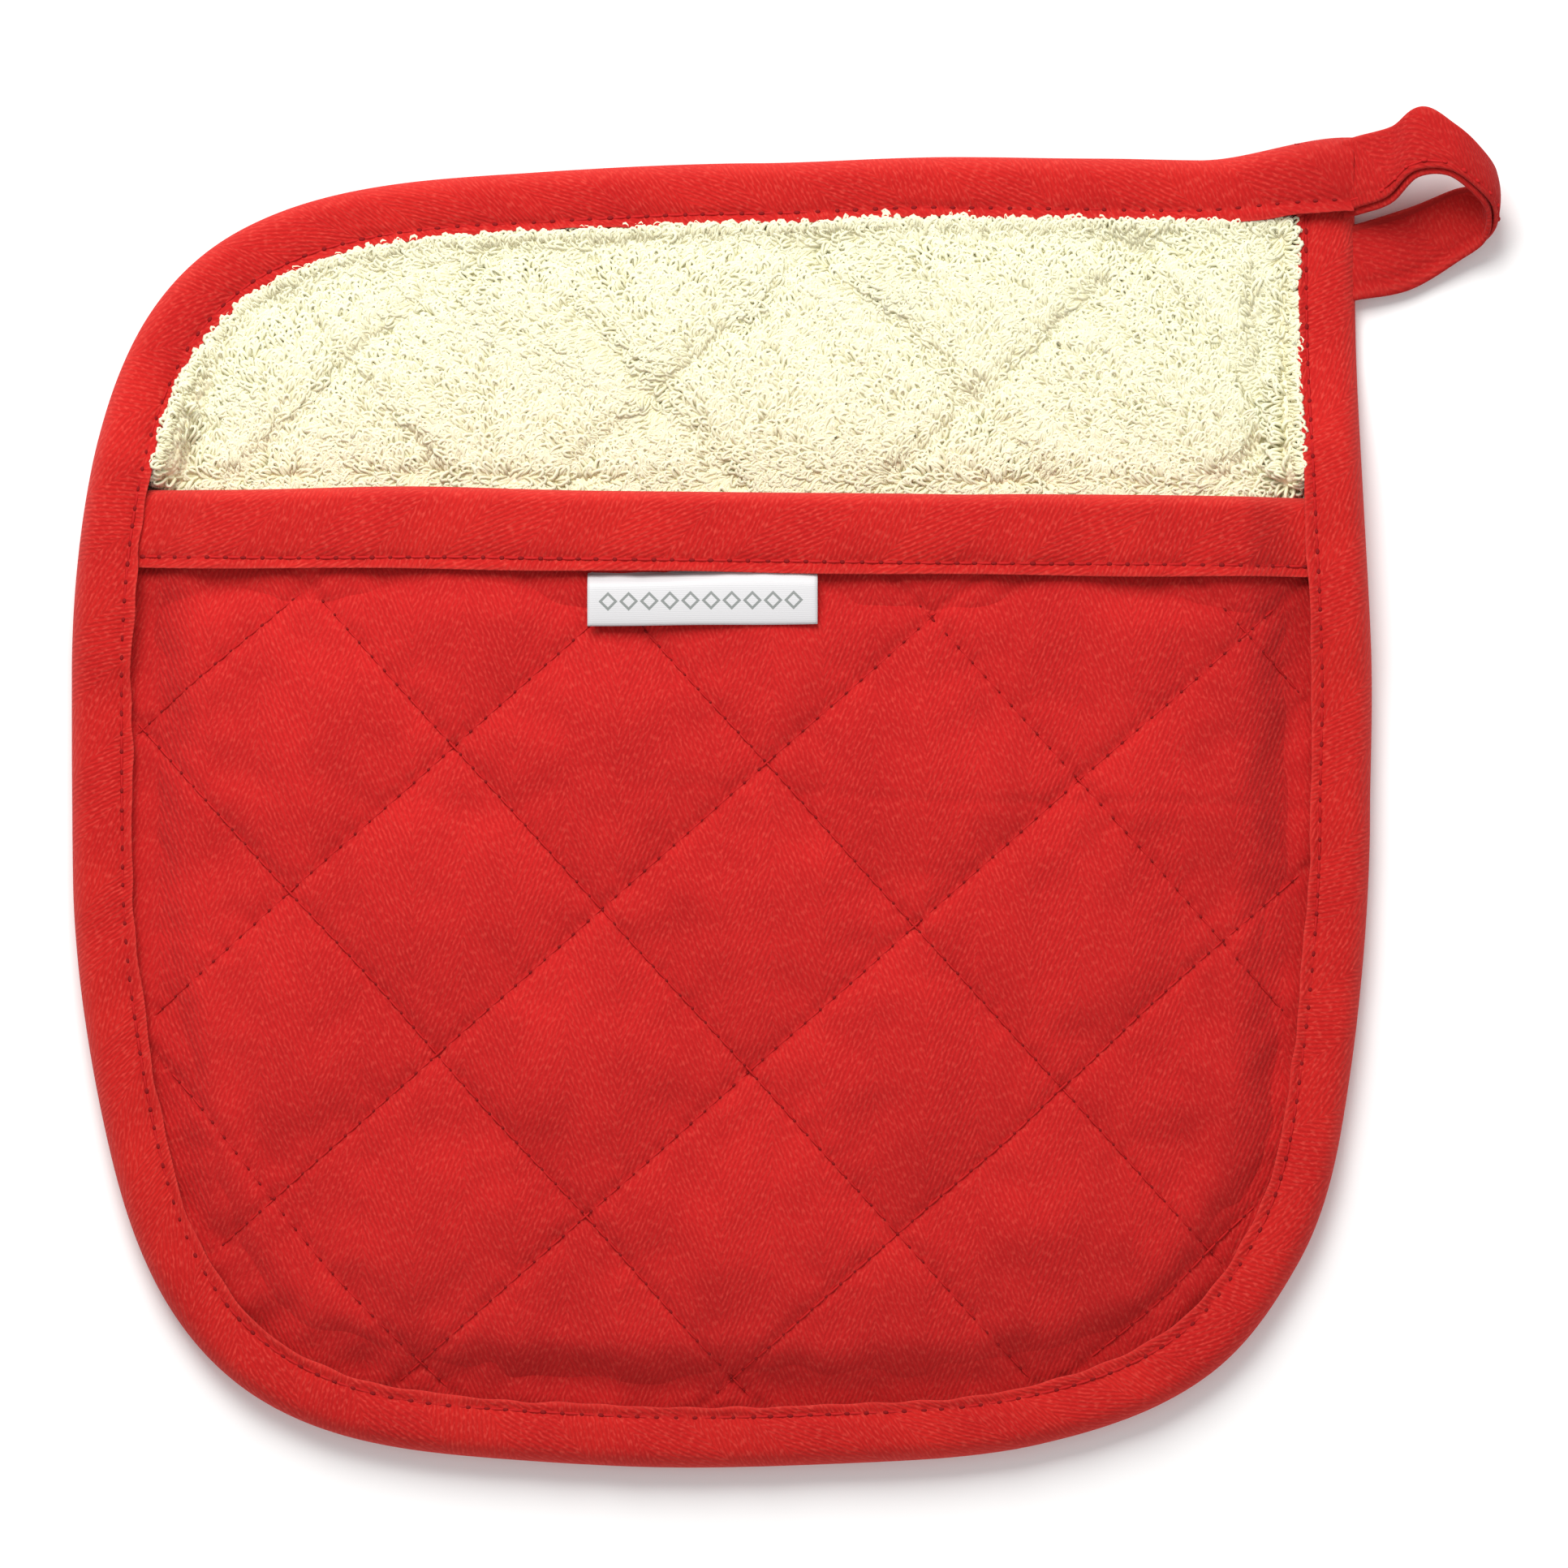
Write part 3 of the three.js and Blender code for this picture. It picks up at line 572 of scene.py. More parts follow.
def frontLiningLevels(x, y):
    under, _ = frontLevels(x, y)
    return under + liningDepth(x, y) * 0.25, under + liningDepth(x, y) * 0.6


print("terry")
backLining = addSheet("back_lining_ground", backPadKeep, backLiningLevels, terry["cell"])
frontLining = addSheet("front_lining_ground", frontPadKeep, frontLiningLevels, terry["cell"])


# Yarn loops: hairpins that stand on the ground and lean with the nap. Each is a tube of a few faces along
# side = w/2 cos(pi s) (1 + 0.8 sin), forward = l sin^0.9, up = h sin^0.8 (1 - 0.3 sin).
def addLoops(name, x, y, ground, lean, flip, reach, pick):
    count = len(x)
    length, width, rise = (pick.uniform(*terry[key], count)[:, None] for key in ("length", "width", "rise"))
    length = length * reach[:, None]
    yarn = terry["yarn"] * pick.uniform(0.85, 1.15, count)[:, None, None, None]
    s = np.linspace(0, 1, terry["segments"] + 1)[None, :]
    arch = np.sin(np.pi * s)
    bend = pick.normal(0, 0.35, count)[:, None] * arch
    forward = length * arch ** 0.9
    side = -width / 2 * np.cos(np.pi * s) * (1 + 0.8 * arch) + bend * forward
    up = rise * arch ** 0.8 * (1 - 0.3 * arch) - 0.15
    dx, dy = np.cos(lean)[:, None], np.sin(lean)[:, None]
    line = np.stack([x[:, None] + dx * forward - dy * side, y[:, None] + dy * forward + dx * side,
                     ground[:, None] + flip * up], -1)
    tangent = np.gradient(line, axis=1)
    tangent /= np.linalg.norm(tangent, axis=2, keepdims=True)
    outward = np.cross(tangent, np.array([0.13, 0.21, 0.97]))
    outward /= np.linalg.norm(outward, axis=2, keepdims=True)
    second = np.cross(tangent, outward)
    angle = np.arange(terry["sides"]) * 2 * np.pi / terry["sides"]
    ring = outward[:, :, None] * np.cos(angle)[:, None] + second[:, :, None] * np.sin(angle)[:, None]
    points = line[:, :, None] + ring * yarn
    shape = count, terry["segments"] + 1, terry["sides"]
    tone = np.broadcast_to(pick.uniform(0, 1, count)[:, None, None], shape)
    tip = np.broadcast_to(arch[:, :, None], shape)
    tones = {"tone": tone.ravel(), "tip": tip.ravel()}
    return addPiece(name, points.reshape(-1, 3), tubeFaces(*shape), tones=tones)


# The nap, as an angle: two random fields added up. At the bound edges it turns to spill over the tape.
def napAt(x, y, pick):
    wander = 2.2 + 1.5 * drift(x, y, 42, 44) + 0.9 * drift(x, y, 11, 45)
    inset = insetAt(x, y)
    gradX = insetAt(x + 0.5, y) - inset
    gradY = insetAt(x, y + 0.5) - inset
    spill = ease(13.0, 11.0, inset)
    toMouth = ease(3.5, 1.0, -belowMouth(x, y)) * ease(-1.5, 0.5, -belowMouth(x, y))
    vectorX = np.cos(wander) * (1 - spill) - 2 * gradX * spill
    vectorY = np.sin(wander) * (1 - spill) - 2 * gradY * spill - 1.2 * toMouth
    return np.arctan2(vectorY, vectorX) + pick.normal(0, 0.38, np.shape(x))


# Points spread evenly with a little scatter, kept where a test says.
def scatter(keep, density, pick):
    cell = 1 / math.sqrt(density)
    steps = np.arange(-halfLength, halfLength, cell)
    x, y = np.meshgrid(steps, steps, indexing="ij")
    x = (x + pick.uniform(-0.5, 0.5, x.shape) * cell).ravel()
    y = (y + pick.uniform(-0.5, 0.5, y.shape) * cell).ravel()
    kept = keep(x, y)
    return x[kept], y[kept]


napPick = np.random.default_rng(17)
loopX, loopY = scatter(lambda x, y: (insetAt(x, y) > 10.0 - 1.3 * ease(70, 84, x) * ease(75, 88, y))
                       & (belowMouth(x, y) < terry["inside"]), terry["density"], napPick)
loopLean = napAt(loopX, loopY, napPick)
loopInset = insetAt(loopX, loopY)
loopRoot = backGround(loopX, loopY) + 0.35 * bell(loopInset - 10.7, 1.2)
loopReach = 1 - 0.42 * ease(11.9, 10.6, loopInset)
loopPieces = []
for k, chosen in enumerate(np.array_split(np.argsort(loopX), terry["pieces"])):
    loopPieces.append(addLoops(f"terry_loops_{k + 1}", loopX[chosen], loopY[chosen], loopRoot[chosen],
                               loopLean[chosen], 1, loopReach[chosen], napPick))
print(f"terry: {len(loopX)} loops in {terry['pieces']} pieces")

x, y = scatter(lambda x, y: (insetAt(x, y) > 21) & (np.abs(belowMouth(x, y) - 22) < 8), 0.8, napPick)
under, _ = frontLevels(x, y)
pocketLoops = addLoops("terry_loops_pocket", x, y, under + 0.75, napAt(x, y, napPick), -1, 1 + 0 * x, napPick)


binding = {
    "stations": 820,
    "start": 0.5003, "end": 4.4975, "seamEnd": 4.470,  # quarter turns, from the loop's corner round to it again
    "seamFromTip": 1.6, "stitch": 3.0, "dip": 0.32,
    "foldDepth": 3.0,  # how far in from the edge the fold has finished turning
    "cornerRise": 2.2,  # the tape climbs to the loop's root
}


seamInset = cloth["edgeLeg"] - binding["seamFromTip"]


# A point of the binding: like the outline, but the two strips run on square to their ends at the loop's
# corner, so that the top strip lies over the end of the right one.
def bindingPoint(turn, inset):
    x, y = outlinePoint(turn, inset)
    edgeX, edgeY = outlinePoint(turn, 0)
    onTop, onRight = (turn >= 0.5) & (turn < 1), turn > 4
    topY = halfLength - inset + liftAt(edgeX, halfLength, inset)
    rightX = halfWidth - inset - leanAt(halfWidth - inset, edgeY)
    x = np.where(onTop, edgeX, np.where(onRight, rightX, x))
    y = np.where(onTop, topY, np.where(onRight, edgeY, y))
    return x, y


# Lengths along a line of points, from 0 at its first one.
def runAlong(points):
    return np.concatenate([[0], np.cumsum(np.linalg.norm(np.diff(points, axis=0), axis=1))])


# Turns at equal steps along the outline, and their run from the start.
def evenTurns(start, end, count):
    fine = np.linspace(start, end, 6001)
    length = runAlong(np.stack(outlinePoint(fine, 0), -1))
    run = np.linspace(0, length[-1], count)
    return np.interp(run, length, fine), run


# A folded tape's outer section, from the front leg's tip over the fold to the back leg's tip. Each row is
# (depth from the fold, share of the way up from the back leg's underside to the front leg's top).
def tapeSection(front, back, foldDepth, steps):
    fold = [(foldDepth * (1 - math.sin(a)), 0.5 + 0.5 * math.cos(a)) for a in np.linspace(0, np.pi, steps)]
    return np.array([(depth, 1.0) for depth in front] + fold + [(depth, 0.0) for depth in back])


# Millimetres across the tape for its outer and its inner face, where height is its thickness at the fold.
def acrossTape(section, height):
    across = runAlong(section * [1, height])
    return np.concatenate([across, across[::-1] + 0.35])


# Wear and painted highlight of the outer face: paler in a bell on the fold and a narrow one on the front leg's
# tip.
def tapeWearAndHighlight(section, foldWide, tip):
    atTip = bell(section[:, 0] - tip, 0.35) * (section[:, 1] >= 0.999)
    worn_and_lit = np.maximum(bell(section[:, 0], foldWide), atTip)
    return np.concatenate([worn_and_lit, 0 * worn_and_lit])[None, :]


print("edge binding")
section = tapeSection((9.6, 9.45, 9.1, 8.6, 8.2, 7.8, 7.4, 6.8, 6.0, 5.2, 4.4, 3.7),
                      (4.4, 6.0, 8.0, 9.4, 10.2), binding["foldDepth"], 13)
turns, run = evenTurns(binding["start"], binding["end"], binding["stations"])
tipWander = 0.22 * drift(run, 0 * run, 23, 51) + 0.12 * drift(run, 0 * run, 7, 52)
cornerX, _ = bindingPoint(turns, 0)
isTopRun = turns < 1
tipExtra = 0.6 * bell(cornerX - 85, 8) * isTopRun


# Underside of the front leg: the layers, plus a rise to the loop's root, less a tuck under the other end.
def edgeHeights(turn):
    edgeX, edgeY = bindingPoint(turn, 0)
    rise = binding["cornerRise"] * ease(74, 99, edgeX) * (turn < 1)
    tuck = 0.5 * ease(84, 96, edgeY) * (turn > 4)
    return legUnderside(belowMouth(edgeX, edgeY)) + rise - tuck


# Top of the front leg: a low arch, less a bell at the seam that deepens at each stitch, plus a lip at the
# tip and two random waves.
def edgeTop(turn, inset, runAt):
    crown = 0.45 * np.sin(np.pi * np.clip((inset - 0.5) / (seamInset - 0.5), 0, 1)) ** 0.8
    beat = np.cos(2 * np.pi * runAt / binding["stitch"])
    dip = binding["dip"] * bell(inset - seamInset, 0.75) * (0.7 + 0.3 * beat)
    lip = 0.18 * bell(inset - cloth["edgeLeg"] + 0.5, 0.7)
    waves = 0.16 * drift(runAt, inset * 1.4, 12, 61)
    waves = waves + 0.10 * drift(runAt, inset * 2, 5, 62) * ease(4, 8, inset)
    return edgeHeights(turn) + cloth["tape"] + crown - dip + lip + waves


outerInset = np.broadcast_to(section[:, 0], (len(turns), len(section))).copy()
frontPart = section[:, 1] >= 0.999
stretch = (tipWander + tipExtra)[:, None] * np.clip(section[:, 0] - 3, 0, None) / 6.6
outerInset += stretch * frontPart
turnGrid = np.broadcast_to(turns[:, None], outerInset.shape)
runGrid = np.broadcast_to(run[:, None], outerInset.shape)
topZ = edgeTop(turnGrid, np.minimum(outerInset, cloth["edgeLeg"] + 0.3), runGrid)
share = section[:, 1][None, :]
outerZ = share * topZ + (1 - share) * 0.06
outerX, outerY = bindingPoint(turnGrid, outerInset)
outer = np.stack([outerX, outerY, outerZ], -1)
# the inner face lies a tape's thickness inside the outer one
innerInset = mix(outerInset, np.maximum(outerInset, binding["foldDepth"] * 0.9), 0.5)
innerInset += cloth["tape"] * (1 - frontPart) * 0.4
innerInset = np.where(section[:, 0] > 3, outerInset, innerInset)
innerShift = cloth["tape"] * np.cos(np.pi * (1 - share))
innerX, innerY = bindingPoint(turnGrid, innerInset)
inner = np.stack([innerX, innerY, outerZ - innerShift], -1)
sections = np.concatenate([outer, inner[:, ::-1]], 1)
uv = np.stack(np.broadcast_arrays(run[:, None], acrossTape(section, 4.5)[None, :]), -1)
# Painted shade: the top strip of tape is darker towards the loop's corner.
paintedShadeNearLoop = ease(78, 99, cornerX) * isTopRun
edgeBinding = addStrip("edge_tape", sections, uv,
                       {"wear_and_highlight": tapeWearAndHighlight(section, 1.6, cloth["edgeLeg"]), "deep": paintedShadeNearLoop[:, None]})


pocket = {"stations": 260, "seamFromTip": 1.8, "stitch": 2.95, "dip": 0.3, "foldDepth": 1.9}
seamBelow = cloth["pocketLeg"] - pocket["seamFromTip"]


# Where a line at one distance below the mouth goes in under the edge tape, left and right.
def mouthEnds(below):
    fine = np.linspace(-halfWidth, halfWidth, 1601)
    inside = insetAt(fine, mouthY - cloth["mouthSlope"] * fine - below) > 3.0
    return fine[inside].min(), fine[inside].max()


# Top of the pocket tape's front leg, made like the edge tape's: arch, less the seam's dip, lip and waves.
def pocketTop(x, y, below):
    _, top = frontLevels(x, y)
    crown = 0.5 * np.sin(np.pi * np.clip((below - 0.3) / (seamBelow - 0.3), 0, 1)) ** 0.8
    beat = np.cos(2 * np.pi * x / pocket["stitch"])
    dip = pocket["dip"] * bell(below - seamBelow, 0.75) * (0.7 + 0.3 * beat)
    lip = 0.15 * bell(below - cloth["pocketLeg"] + 0.5, 0.7)
    waves = 0.2 * drift(x, below * 1.2, 14, 71) + 0.1 * drift(x, below * 2, 5.5, 72) * ease(6, 10, below)
    return top + cloth["gap"] + cloth["tape"] + crown - dip + lip + waves


print("pocket binding")
section = tapeSection((12.5, 12.35, 12.0, 11.4, 10.9, 10.5, 10.0, 9.2, 8.0, 6.6, 5.2, 4.0, 2.8),
                      (3.0, 5.0, 8.0, 11.0, 12.5), pocket["foldDepth"], 11)
pocketShare = np.linspace(0, 1, pocket["stations"])[:, None]
below = np.broadcast_to(section[:, 0], (pocket["stations"], len(section)))
isUpperLeg = section[:, 1] >= 0.999
ends = np.array([mouthEnds(b) for b in section[:, 0]])
x = mix(ends[:, 0], ends[:, 1], pocketShare)
below = below + 0.22 * drift(x, 0 * x, 30, 75) * np.clip(below / 12.5, 0.5, 1) * isUpperLeg
y = mouthY - cloth["mouthSlope"] * x - below
under, _ = frontLevels(x, y)
topZ = pocketTop(x, y, below)
share = section[:, 1][None, :]
outerZ = share * topZ + (1 - share) * (under - cloth["gap"] - cloth["tape"])
outer = np.stack([x, y, outerZ], -1)
innerBelow = np.where(section[:, 0] > 2, below, below + cloth["tape"])
inner = np.stack([x, mouthY - cloth["mouthSlope"] * x - innerBelow,
                  outerZ - cloth["tape"] * np.cos(np.pi * (1 - share))], -1)
sections = np.concatenate([outer, inner[:, ::-1]], 1)
across = np.broadcast_to(acrossTape(section, 5), sections.shape[:2])
uv = np.stack([np.concatenate([x, x[:, ::-1]], 1), across], -1)
pocketBinding = addStrip("pocket_tape", sections, uv, {"wear_and_highlight": tapeWearAndHighlight(section, 1.2, cloth["pocketLeg"])})


thread = {"radius": 0.24, "quilting": 0.19, "segments": 7, "sides": 6, "holeLength": 0.42, "holeWidth": 0.28}


# Stitches that rise out of one needle hole and dive into the next. starts and ends are points on the cloth.
# The tube's line is a low arch: height = 0.2 sin^0.6 - 0.2.
def addStitches(name, starts, ends, radius, flip=1):
    s = np.linspace(0, 1, thread["segments"] + 1)[None, :, None]
    line = starts[:, None] * (1 - s) + ends[:, None] * s
    line[..., 2] += flip * (0.2 * np.sin(np.pi * s[..., 0]) ** 0.6 - 0.2)
    direction = ends - starts
    direction /= np.linalg.norm(direction, axis=1, keepdims=True)
    side = np.cross(direction, [0, 0, 1.0])
    side /= np.linalg.norm(side, axis=1, keepdims=True)
    angle = np.arange(thread["sides"]) * 2 * np.pi / thread["sides"]
    taper = radius * (0.55 + 0.45 * np.sin(np.pi * s[..., 0]) ** 0.5)
    ring = (side[:, None, None] * np.cos(angle)[:, None]
            + np.array([0, 0, 1.0]) * np.sin(angle)[:, None] * 0.8)
    points = line[:, :, None] + ring * taper[..., None, None]
    faces = tubeFaces(len(starts), thread["segments"] + 1, thread["sides"])
    return addPiece(name, points.reshape(-1, 3), faces)


# Needle holes: low dark ovals, turned with the seam. Each is a closed cap of five rings of eight points, at
# centre + length cos along the seam + width sin across it.
def addHoles(name, centres, directions, pick, flip=1, scale=1.0):
    count = len(centres)
    angle = np.arange(8) * np.pi / 4
    length = thread["holeLength"] * scale * pick.uniform(0.8, 1.25, count)[:, None]
    width = thread["holeWidth"] * scale * pick.uniform(0.8, 1.2, count)[:, None]
    flat = directions[:, :2] / np.linalg.norm(directions[:, :2], axis=1, keepdims=True)
    rows = []
    for reach, lift in ((0.05, 0.2), (0.6, 0.19), (1.0, 0.12), (0.8, -0.25), (0.05, -0.3)):
        along, aside = length * np.cos(angle) * reach, width * np.sin(angle) * reach
        rows.append(np.stack([centres[:, :1] + flat[:, :1] * along - flat[:, 1:] * aside,
                              centres[:, 1:2] + flat[:, 1:] * along + flat[:, :1] * aside,
                              np.broadcast_to(centres[:, 2:3] + flip * lift, along.shape)], -1))
    return addPiece(name, np.stack(rows, 1).reshape(-1, 3), tubeFaces(count, 5, 8))


# Splits a line of points on the cloth into stitches of one length, a little uneven.
def seamPoints(path, pitch, pick):
    length = runAlong(path)
    count = max(2, int(length[-1] / pitch))
    marks = np.arange(count + 1) * length[-1] / count + pick.normal(0, 0.09, count + 1)
    return np.stack([np.interp(marks, length, path[:, k]) for k in range(3)], -1)


print("seams")
stitchPick = np.random.default_rng(23)
seamTurns, seamRun = evenTurns(binding["start"], binding["seamEnd"], 1600)
seamX, seamY = bindingPoint(seamTurns, seamInset)
seamLine = np.stack([seamX, seamY, edgeTop(seamTurns, seamInset, seamRun)], -1)
edgeMarks = seamPoints(seamLine, binding["stitch"], stitchPick)
edgeSeam = addStitches("edge_seam", edgeMarks[:-1], edgeMarks[1:], thread["radius"])
edgeHoles = addHoles("edge_needle_holes", edgeMarks, np.gradient(edgeMarks, axis=0), stitchPick)

seamX = np.linspace(-halfWidth, halfWidth, 900)
seamY = mouthY - cloth["mouthSlope"] * seamX - seamBelow
onPocket = insetAt(seamX, seamY) > cloth["edgeLeg"] + 0.4
seamX, seamY = seamX[onPocket], seamY[onPocket]
seamLine = np.stack([seamX, seamY, pocketTop(seamX, seamY, seamBelow)], -1)
pocketMarks = seamPoints(seamLine, pocket["stitch"], stitchPick)
pocketSeam = addStitches("pocket_seam", pocketMarks[:-1], pocketMarks[1:], thread["radius"])
pocketHoles = addHoles("pocket_needle_holes", pocketMarks, np.gradient(pocketMarks, axis=0), stitchPick)


# Every quilting line's stitches inside a region, as starts and ends on a surface.
def quiltStitches(keep, height, phase, pick):
    starts, stops = [], []
    reach = math.hypot(halfWidth, halfLength)
    for k in range(2):
        nx, ny = quiltNormals[k]
        for line in range(-4, 5):
            offset = phase[k] + line * quilting["spacing"]
            s = np.arange(-reach, reach, 0.25)
            wander = 0.07 * drift(s, 0 * s + offset, 40, 81 + k)
            x, y = nx * (offset + wander) + ny * s, ny * (offset + wander) - nx * s
            inside = keep(x, y)
            if np.count_nonzero(inside) < 60:
                continue
            x, y = x[inside], y[inside]
            marks = seamPoints(np.stack([x, y, height(x, y)], -1), quilting["pitch"], pick)
            starts.append(marks[:-1])
            stops.append(marks[1:])
    return np.concatenate(starts), np.concatenate(stops)


# Where the front's quilting shows: inside both tapes.
def frontStitchKeep(x, y):
    return (insetAt(x, y) > cloth["edgeLeg"] + 0.3) & (belowMouth(x, y) > cloth["pocketLeg"] + 0.4)


# The panel's cloth is drawn up beside the tapes by smooth steps, and the stitches come up with it.
def quiltTop(x, y):
    besideTapes = ease(15.5, 12.0, insetAt(x, y)) + ease(4.5, 2.0, belowMouth(x, y) - cloth["pocketLeg"])
    return frontHeight(x, y) + 0.35 * np.minimum(besideTapes, 1)


starts, stops = quiltStitches(frontStitchKeep, quiltTop, quilting["frontPhase"], stitchPick)
frontQuilting = addStitches("front_quilting", starts, stops, thread["quilting"])
frontHoles = addHoles("front_quilting_holes", starts, stops - starts, stitchPick, 1, 0.66)


# The back's quilting lies in valleys 0.62 mm above the table.
def backStitchKeep(x, y):
    return insetAt(x, y) > cloth["backLeg"] + 0.6


starts, stops = quiltStitches(backStitchKeep, lambda x, y: 0.62 + 0 * x, quilting["backPhase"], stitchPick)
backQuilting = addStitches("back_quilting", starts, stops, thread["quilting"], -1)

print("label")
label = {
    "left": -20.7, "right": 15.0, "slope": 0.0108,
    "fromBinding": 0.2, "drop": 8.2, "thickness": 0.42,
    "across": 64, "down": 22,  # cells each way
}
u = np.linspace(0, 1, label["across"] + 1)[:, None]
v = np.linspace(-0.25, 1, label["down"] + 1)[None, :]
labelX = mix(label["left"], label["right"], u) + 0 * v
labelY = mouthY - cloth["pocketLeg"] - label["fromBinding"] - label["drop"] * v
labelY = labelY + label["slope"] * (labelX - label["left"])
labelY = labelY + 0.06 * drift(labelX, 0 * labelY, 20, 91)
ground = max(frontHeight(labelX, labelY).max(), frontHeight(labelX, labelY - 1.0).max())
bow = 0.25 * np.sin(np.pi * np.clip(v, 0, 1)) + 0.12 * drift(labelX, labelY, 30, 92)
tucked = frontHeight(labelX, labelY) + 0.3
labelZ = mix(tucked, ground + 0.35 + bow, ease(-0.12, 0.25, v))
thick = label["thickness"] / 2 * np.sqrt(np.clip(1 - ((v - 0.375) / 0.63) ** 8, 0.05, 1))
thick = thick * (1 - 0.5 * bell(np.minimum(u, 1 - u), 0.008))
faceHeights = labelZ + thick, labelZ - thick
labelPoints = np.stack([np.stack([labelX, labelY, z], -1) for z in faceHeights]).reshape(-1, 3)
used, faces = slabFaces(np.ones(labelX.shape, bool))
width = label["right"] - label["left"]
labelUv = np.stack(np.broadcast_arrays(u * width, v * label["drop"]), -1).reshape(-1, 2)
labelUv = np.concatenate([labelUv, labelUv + [0, 40]])
wovenLabel = addPiece("woven_label", labelPoints[used], faces, labelUv[used])


# The band's two edges, from its root on the top edge, out, round and back under to the right edge.
# Across and up are measured from the body's corner, and the height from the table.
outerEdge = [[-2.4, 2.7, 5.0], [0, 3.35, 5.7], [5.2, 4.7, 8.4], [9.9, 7.5, 11.2], [14.8, 4.6, 11.8],
             [18.7, 0.8, 10.0], [20.4, -2.5, 7.0], [19.7, -4.0, 4.2], [15.2, -4.8, 2.6], [8.2, -7.6, 1.9],
             [0, -10.2, 2.1], [-2.4, -10.8, 2.1]]
innerEdge = [[-2.4, -9.5, 5.0], [0, -9.0, 5.7], [4.4, -7.5, 9.0], [8.3, -3.6, 12.6], [13.6, -3.3, 13.4],
             [18.6, -6.7, 11.6], [20.9, -9.9, 8.4], [20.0, -13.2, 5.2], [15.9, -16.1, 2.9], [8.1, -20.6, 1.9],
             [0, -22.2, 2.1], [-2.4, -22.6, 2.1]]
hanger = {"thickness": 1.7, "stations": 190, "seamFromEdge": 0.13, "lip": 0.07}
hangerRoot = np.array([halfWidth - outline["lean"] + 0.5, halfLength, 0])


# A smooth curve through points: cubic pieces whose slopes are half the step between a point's neighbours.
def throughPoints(knots, along):
    knots = np.asarray(knots, float)
    knots = np.concatenate([2 * knots[:1] - knots[1:2], knots, 2 * knots[-1:] - knots[-2:-1]])
    place = np.clip(along * (len(knots) - 3), 0, len(knots) - 3 - 1e-9)
    first = place.astype(int)
    s = (place - first)[:, None]
    p0, p1, p2, p3 = (knots[first + k] for k in range(4))
    return 0.5 * (2 * p1 + (p2 - p0) * s + (2 * p0 - 5 * p1 + 4 * p2 - p3) * s ** 2
                  + (3 * p1 - p0 - 3 * p2 + p3) * s ** 3)


print("hanging loop")
along = np.linspace(0, 1, hanger["stations"])
outerLine = throughPoints(outerEdge, along) + hangerRoot
innerLine = throughPoints(innerEdge, along) + hangerRoot
span = innerLine - outerLine
tangent = np.gradient(outerLine + innerLine, axis=0)
bandNormal = np.cross(span, tangent)
bandNormal /= np.linalg.norm(bandNormal, axis=1, keepdims=True)
bandNormal *= np.sign(bandNormal[0, 2])


# The folded tape's section: share across from the fold to the open edge, and lift in half thicknesses.
# The upper layer stops short of the lower one, and a slit shows between them.
def hangerSection():
    lip = hanger["lip"]
    fold = [(0.045 - 0.045 * math.sin(a), math.cos(a)) for a in np.linspace(np.pi, 0, 9)]
    upper = [(s, 1.0) for s in np.linspace(0.1, 0.86 - lip, 15)]
    upperTip = [(0.95 - lip, 0.97), (0.975 - lip, 0.8), (0.985 - lip, 0.5), (0.975 - lip, 0.2),
                (0.93 - lip, 0.06)]
    slit = [(0.8 - lip, 0.02), (0.8 - lip, -0.02), (0.93 - lip, -0.06)]
    lowerTip = [(0.97, -0.1), (0.99, -0.25), (1.0, -0.5), (0.99, -0.8), (0.97, -0.96)]
    lower = [(s, -1.0) for s in np.linspace(0.92, 0.1, 16)]
    return np.array(fold + upper + upperTip + slit + lowerTip + lower)


section = hangerSection()
half = hanger["thickness"] / 2
runBand = runAlong((outerLine + innerLine) / 2)
seamAt = 1 - hanger["lip"] - hanger["seamFromEdge"]
crown = 0.5 * np.sin(np.pi * np.clip(section[:, 0], 0, 1)) * np.sign(section[:, 1])
dip = -0.28 * bell(section[:, 0] - seamAt, 0.05) * np.sign(section[:, 1])
gather = 0.25 * drift(runBand[:, None], section[:, 0][None, :] * 6, 9, 95)
lift = (section[:, 1] * half + crown * 0.7 + dip)[None, :] + gather
sections = (outerLine[:, None] + span[:, None] * section[:, 0][None, :, None]
            + bandNormal[:, None] * lift[..., None])
uv = np.stack(np.broadcast_arrays(runBand[:, None], runAlong(section * [11, half])[None, :]), -1)
# Wear and painted highlight: the band's fold and the upper layer's lip are paler.
wear_and_highlight = np.maximum(bell(section[:, 0], 0.06), bell(section[:, 0] - 1 + hanger["lip"], 0.03))
# Painted shade: the whole hanging loop is darker, a little more along its far limb.
hangingLoop = addStrip("hanging_tape", sections, uv,
                       {"wear_and_highlight": wear_and_highlight[None, :], "deep": 0.9 + 0.4 * ease(0.45, 0.9, along)[:, None]})
seamLine = (outerLine + span * seamAt + bandNormal * (half + 0.05))[6:-6]
loopMarks = seamPoints(seamLine, binding["stitch"], stitchPick)
loopHoles = addHoles("loop_needle_holes", loopMarks[:12], np.gradient(loopMarks, axis=0)[:12], stitchPick)
loopSeam = addStitches("loop_seam", loopMarks[:-1], loopMarks[1:], 0.2)


# A colour in linear light: (v + 0.055) / 1.055 to the power of 2.4, or v / 12.92 where it is dark.
def linear(hexColour):
    values = [int(hexColour[k:k + 2], 16) / 255 for k in (1, 3, 5)]
    return tuple(v / 12.92 if v <= 0.04045 else ((v + 0.055) / 1.055) ** 2.4 for v in values) + (1,)


